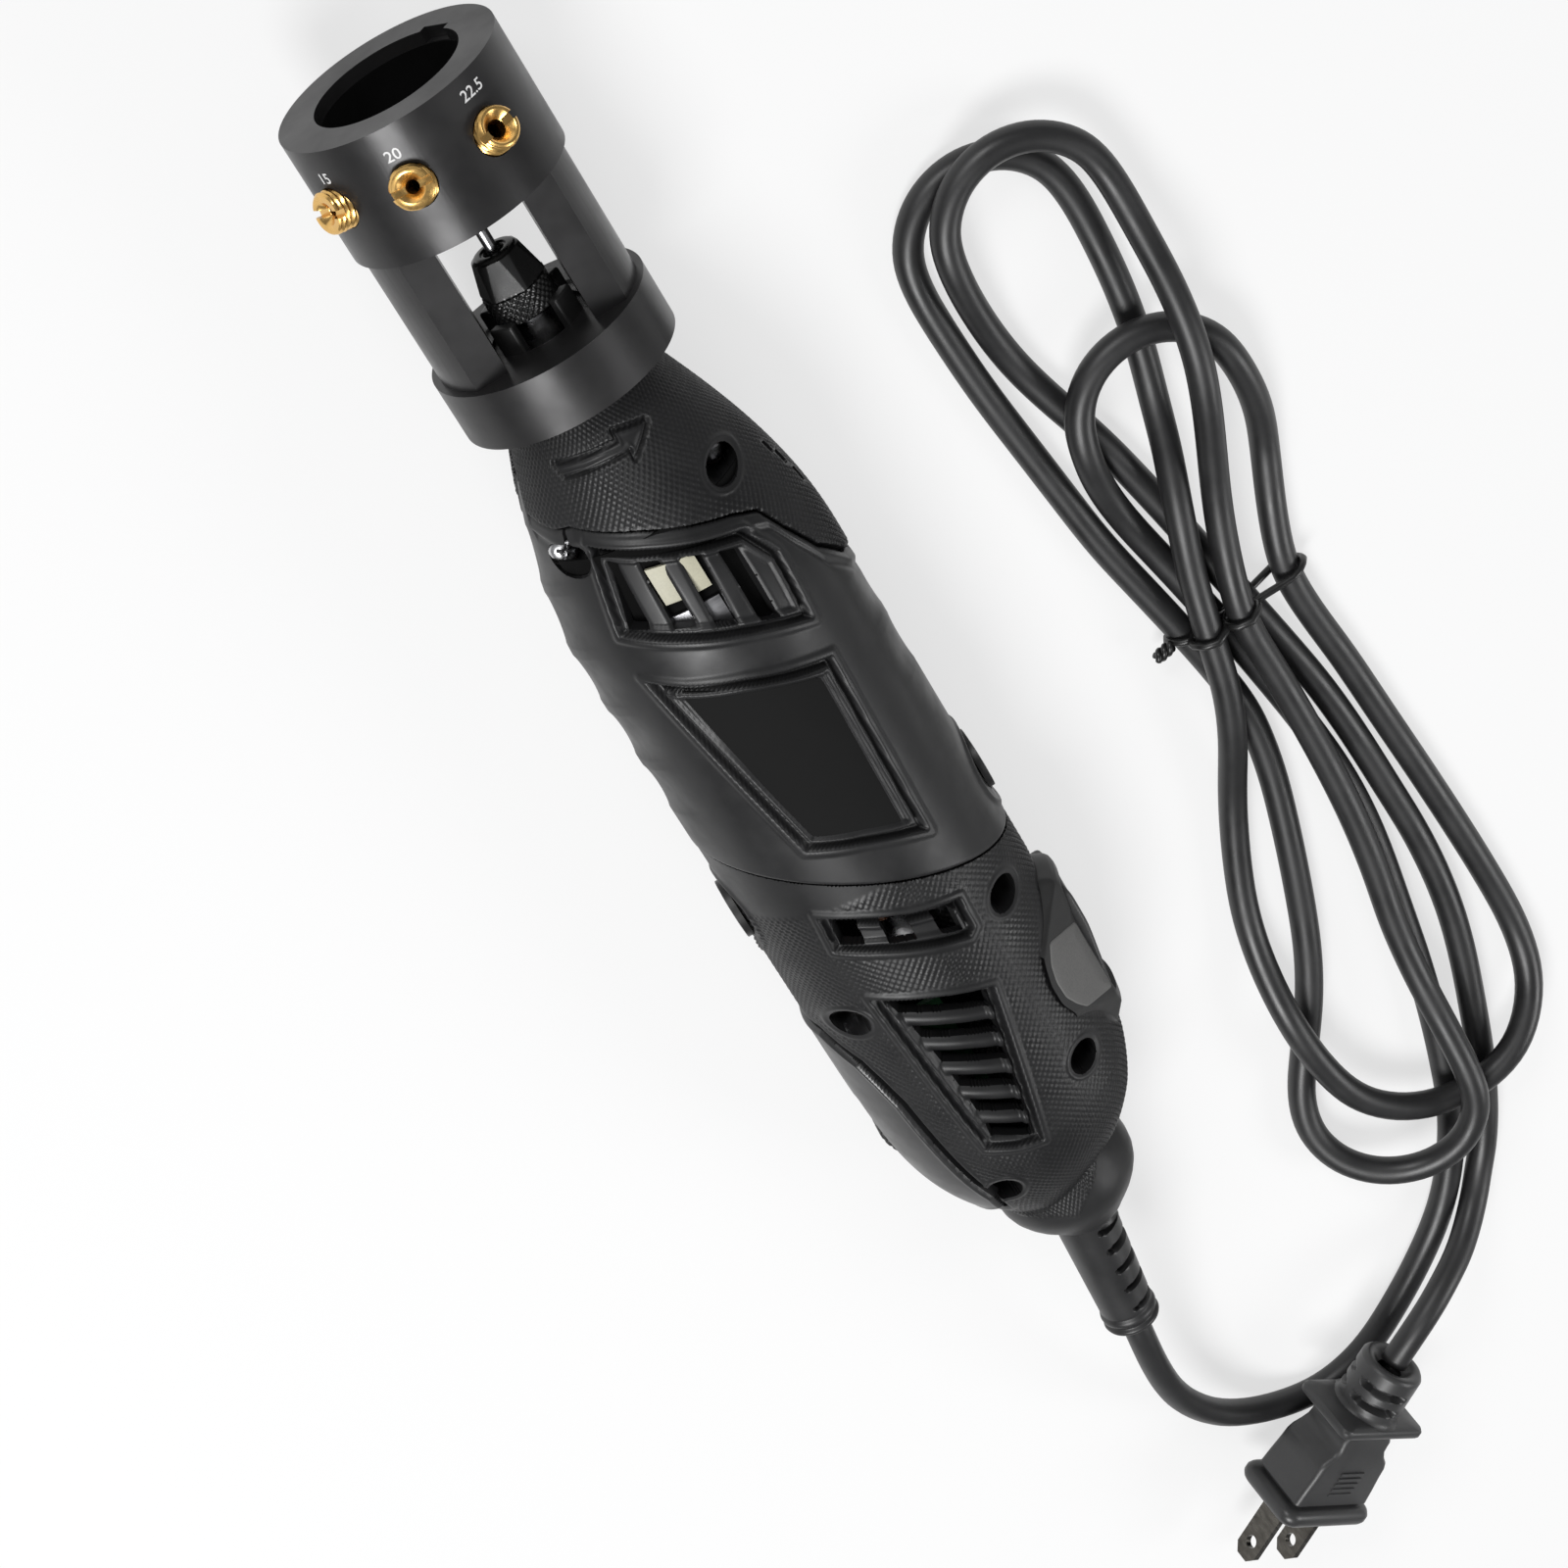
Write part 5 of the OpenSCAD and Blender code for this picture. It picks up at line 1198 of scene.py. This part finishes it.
make_screws()
make_inner_pieces()
make_label_plate()
make_brush_cap("left", 0)
make_brush_cap("right", 180)


# ---------------------------------------------------------------- rocker switch
ROCKER_LEN, ROCKER_HALF, ROCKER_FACE, SKIRT_OUT, PIN_OUT = 26.0, 9.2, 30.3, 25.8, 22.0
BEZEL_WING, BEZEL_FRONT, BEZEL_REAR = 37.15, 28.75, 27.4
# (x, radius) of the bezel's rim over the tool's length
BEZEL_RIM = ((-86.0, 25.0), (-84.0, 26.8), (-81.3, 28.6), (-77.0, 29.1), (-58.0, 29.15), (-52.0, 30.1),
    (-49.5, 30.1), (-48.4, 29.9), (-47.6, 29.3), (-46.9, 28.1), (-46.2, 26.6), (-43.0, 21.0))
# (x, height off the middle) of the facet on each of the bezel's wings
WING_FACET = ((-58.0, 10.6), (-54.3, 18.0), (-57.5, 20.2), (-61.0, 21.0), (-65.3, 20.8), (-69.0, 19.3),
    (-71.8, 17.7), (-75.6, 10.6))


def soft_least(values, soft):
    """A smooth minimum, so that two facets meet in a rounded edge."""
    least = min(values)
    return least - soft * math.log(sum(math.exp((least - v) / soft) for v in values))


def bezel_recess(x, z):
    """How far the bezel's front edge runs back below the middle, as an oval does."""
    return min(RECESS, max(0.0, 4 - z) ** 2 / 30) * recess_share(x)


def bezel_out(x, z):
    """How far the bezel stands out from the tool's middle plane: a round rim with two flat wings."""
    h = abs(z)
    ahead = x + bezel_recess(x, z)
    rim = float(read_off(BEZEL_RIM, ahead))
    crown = math.sqrt(max(1.0, rim * rim - h * h))
    wing = BEZEL_WING + 0.02 * (x + 62) - 0.92 * h
    front = BEZEL_FRONT - 3.2 * (ahead + 48) - 3.0 * (h - 10)
    rear = BEZEL_REAR + 0.9 * (x + 72.3) - 1.6 * (h - 13.4)
    return soft_least((crown, wing, front, rear), 0.13)


def rectangle(half_x, half_z, corner, count):
    """Points round a rounded rectangle, evenly spread by angle."""
    points = []
    for k in range(count):
        a = TAU * k / count
        c, s = math.cos(a), math.sin(a)
        power = 2 + 2 * min(half_x, half_z) / corner
        q = (abs(c / half_x) ** power + abs(s / half_z) ** power) ** (-1 / power)
        points.append((q * c, q * s))
    return points


def make_bezel():
    """Rings between the rocker's hole and a footprint that runs a little under the housing's skin."""
    count, rings = 200, 34
    hole = rectangle(ROCKER_LEN / 2 + 1.2, ROCKER_HALF + 0.6, 2.0, count)
    foot = [(x - ROCKER_X, BODY_R * math.cos(math.radians(a))) for x, a in BEZEL_LINE + BEZEL_LOWER]
    foot = rounded(foot, 1.0)
    spread = []
    for hx, hz in hole:
        # Where the ray from the middle through the hole's rim leaves the footprint
        reach = 1.0
        for (ax, az), (bx, bz) in zip(foot, foot[1:] + foot[:1]):
            ex, ez = bx - ax, bz - az
            cross = hx * ez - hz * ex
            if abs(cross) > 1e-9:
                t, u = (ax * ez - az * ex) / cross, (ax * hz - az * hx) / cross
                if t > 0 and -1e-6 <= u <= 1 + 1e-6:
                    reach = max(reach, t)
        spread.append((hx * reach * 1.1, hz * reach * 1.1))
    points = []
    for depth in (22.5, 27.0, 29.0):
        points += [(ROCKER_X + x, -min(depth, bezel_out(ROCKER_X + x, z) - 0.25), AXIS + z) for x, z in hole]
    for i in range(rings + 1):
        t = i / rings
        for (ax, az), (bx, bz) in zip(hole, spread):
            x, z = ax + (bx - ax) * t, az + (bz - az) * t
            points.append((ROCKER_X + x, -bezel_out(ROCKER_X + x, z), AXIS + z))
    mesh = mesh_of("switch_bezel_seen", points, ring_faces(rings + 4, count), sharp=50)
    stand_in("switch_bezel", mesh, BEZEL_GREY, "smooth_plastic")


def make_wing_facets():
    """A raised, matt facet on each wing of the bezel, coloured light grey as a painted highlight for the
    light it catches.
    """
    for side, side_name in ((1, "upper"), (-1, "lower")):
        corners = rounded(list(WING_FACET), 0.8, 4)
        middle = np.mean(corners, 0)
        rings = []
        for share, rise in ((1.0, -0.4), (1.0, 0.08), (0.985, 0.2), (0.95, 0.26), (0.6, 0.26)):
            rings += [(x, -(bezel_out(x, h) + rise), AXIS + side * h)
                      for x, h in (middle + (np.array(c) - middle) * share for c in corners)]
        n = len(corners)
        mesh = mesh_of("facet", rings, ring_faces(5, n) + [tuple(range(4 * n, 5 * n))], 50)
        add(f"bezel_facet_{side_name}", mesh, FACET_PAINTED_LIGHT, "smooth_plastic")


def make_rocker():
    """Two facets that meet ahead of the middle, with a rounded rim and a skirt down into the switch."""
    count = 120
    x1, z1 = ROCKER_LEN / 2, ROCKER_HALF
    rim = rectangle(x1, z1, 1.6, count)

    def out(x, z, shrink):
        front = ROCKER_FACE - (x - 11) * 0.3
        back = ROCKER_FACE - (3 - x) * 0.14
        face = soft_least((front, back, ROCKER_FACE - 0.05), 0.15) - 0.008 * z * z
        return face - 0.9 * (1 - math.sqrt(max(0.0, 1 - (1 - min(1.0, shrink / 0.9)) ** 2)))

    points = [(ROCKER_X + x, -SKIRT_OUT, AXIS + z) for x, z in rim]
    steps = [0.0, 0.06, 0.18, 0.38, 0.62, 0.9, 1.4, 2.2, 3.2, 4.4, 5.8, 7.2, 8.4]
    for shrink in steps:
        along = 1 - shrink / x1 * (0.4 + 0.6 * shrink / steps[-1])
        points += [(ROCKER_X + x * along, -out(x, z, shrink), AXIS + z * (1 - shrink / z1)) for x, z in rim]
    n = len(steps) + 1
    cap = mesh_of("cap", points, ring_faces(n, count) + end_caps(n, count), 50)
    stem = bevelled(box_mesh("stem", (ROCKER_X - 3, -SKIRT_OUT - 0.5, AXIS - 5),
                             (ROCKER_X + 3, -PIN_OUT, AXIS + 5)), 0.3)
    pin = lathe("pin", [(-8, 0.02), (-8, 1.5), (8, 1.5), (8, 0.02)], 32,
                frame_=shift(ROCKER_X, -PIN_OUT, AXIS) @ X_TO_Z)
    mesh = joined("switch_rocker_seen", [cap, stem, pin])
    stand_in("switch_rocker", mesh, ROCKER_GREY, "smooth_plastic", "rocker")


make_bezel()
make_wing_facets()
make_rocker()


# ---------------------------------------------------------------- speed dial
def make_dial():
    """A thumbwheel with a grooved rim."""
    def grooves(_, r, a):
        return r - 0.45 * max(0.0, math.cos(a * 30)) ** 3 if r > DIAL_R - 1.2 else r

    edge = [(0.0, 2.1), (0.0, DIAL_R - 1.6), (0.0, DIAL_R - 0.5), (0.25, DIAL_R - 0.12), (0.6, DIAL_R)]
    half = DIAL_T / 2
    profile = [(d - half, r) for d, r in edge] + [(half - d, r) for d, r in reversed(edge)]
    mesh = lathe("speed_dial_seen", profile, 240, True, 40, grooves, shift(DIAL_X, DIAL_Y, AXIS) @ X_TO_Z)
    stand_in("speed_dial", mesh, NYLON, "smooth_plastic", "dial")


make_dial()


# ---------------------------------------------------------------- tail collar and strain relief
RELIEF_FRAME = shift(*LEAD[0]) @ turned("Z", -5) @ turned("Y", -3)
RELIEF_SLOT_DEPTH = 2.4
RELIEF_SLOTS = [(6.4 + 5.7 * i, 0.5 + 0.12 * i, 301, 52) for i in range(5)]


def make_tail():
    profile = [(-105.0, 5.2), (-105.0, 12.2), (-105.4, 13.9), (-107.0, 14.5), (-110.0, 15.0), (-113.0, 15.2),
               (-115.5, 15.0), (-117.5, 14.4), (-119.5, 13.3), (-121.3, 12.0), (-123.0, 10.5), (-124.4, 9.2),
               (-125.3, 8.4), (-125.9, 7.9), (-126.2, 7.4), (-126.1, 6.9), (-125.6, 6.7), (-124.0, 5.2)]
    collar = lathe("tail_collar_seen", profile, 140, sharp=45)
    stand_in("tail_collar", collar, COLLAR, "smooth_plastic")
    sleeve = [(0.4, 3.1), (0.05, 3.6), (0.0, 4.6), (0.15, 5.4), (0.5, 5.9), (1.0, 6.1), (1.5, 5.95),
              (1.75, 5.6), (2.0, 5.55), (2.3, 5.6), (2.6, 5.95), (3.3, 6.1), (4.0, 5.95), (4.3, 5.65),
              (4.6, 5.62)]
    sleeve += [(4.9 + 0.3 * i, 5.72 + 0.010 * i) for i in range(92)]
    sleeve += [(32.4, 6.4), (32.4, 5.0)]
    ribbed = lathe("sleeve", sleeve, 120, False, 45, slotted(RELIEF_SLOTS, RELIEF_SLOT_DEPTH), RELIEF_FRAME)
    neck = lathe("neck", [(-130.4, 0.02), (-130.4, 5.0), (-108.0, 5.0), (-108.0, 0.02)], 48)
    stand_in("strain_relief", joined("strain_relief_seen", [ribbed, neck]), CORD, "cord_rubber")


make_tail()


# ---------------------------------------------------------------- floor and light
FLOOR_HALF, FLOOR_TONE, FLOOR_GLOW, GLOW_SHARE = 3, 0.80, 0.925, 0.72
SKY, SKY_STRENGTH = (0.93, 0.94, 0.96), 0.24
# (name, place in metres, size, power), all aimed at LAMP_AIM
LAMPS = (("key", (-0.2, 0.5, 0.95), 0.5, 11.0), ("rim", (-0.6, -0.7, 0.6), 0.45, 3.5),
         ("front", (0.95, 0.1, 0.75), 0.45, 5.5))
LAMP_AIM = (0, -0.04, 0)


def floor_material():
    """A pale matt floor, which looks brighter to the camera and in reflections than its shading alone."""
    material, tree, shader = new_material("floor")
    link = tree.links.new
    shader.inputs["Base Color"].default_value = (FLOOR_TONE, FLOOR_TONE, FLOOR_TONE, 1)
    shader.inputs["Roughness"].default_value = 0.9
    glow = node(tree, "ShaderNodeEmission", Color=(FLOOR_GLOW, FLOOR_GLOW, FLOOR_GLOW, 1), Strength=1.0)
    path = node(tree, "ShaderNodeLightPath")
    seen = node(tree, "ShaderNodeMath", operation="MULTIPLY")
    seen.inputs[1].default_value = GLOW_SHARE
    mix = node(tree, "ShaderNodeMixShader")
    total = path.outputs["Is Camera Ray"]
    for ray in ("Is Glossy Ray", "Is Transmission Ray"):
        more = node(tree, "ShaderNodeMath", operation="ADD", use_clamp=True)
        link(total, more.inputs[0])
        link(path.outputs[ray], more.inputs[1])
        total = more.outputs[0]
    link(total, seen.inputs[0])
    link(seen.outputs[0], mix.inputs["Fac"])
    link(shader.outputs[0], mix.inputs[1])
    link(glow.outputs[0], mix.inputs[2])
    link(mix.outputs[0], tree.nodes["Material Output"].inputs["Surface"])
    return material


def make_stage():
    mesh = bpy.data.meshes.new("floor")
    corners = [(x * FLOOR_HALF, y * FLOOR_HALF, 0) for x, y in ((-1, -1), (1, -1), (1, 1), (-1, 1))]
    mesh.from_pydata(corners, [], [(0, 1, 2, 3)])
    mesh.materials.append(floor_material())
    linked("floor", mesh)
    world = bpy.data.worlds.new("world")
    world.use_nodes = True
    world.node_tree.nodes["Background"].inputs[0].default_value = (*SKY, 1)
    world.node_tree.nodes["Background"].inputs[1].default_value = SKY_STRENGTH
    bpy.context.scene.world = world
    for name, place, size, power in LAMPS:
        lamp = bpy.data.lights.new(name, "AREA")
        lamp.shape, lamp.size, lamp.energy = "DISK", size, power
        ob = linked(name, lamp)
        ob.location = place
        ob.rotation_euler = (Vector(LAMP_AIM) - Vector(place)).to_track_quat("-Z", "Y").to_euler()


make_stage()
bpy.context.scene.view_settings.view_transform = "Standard"
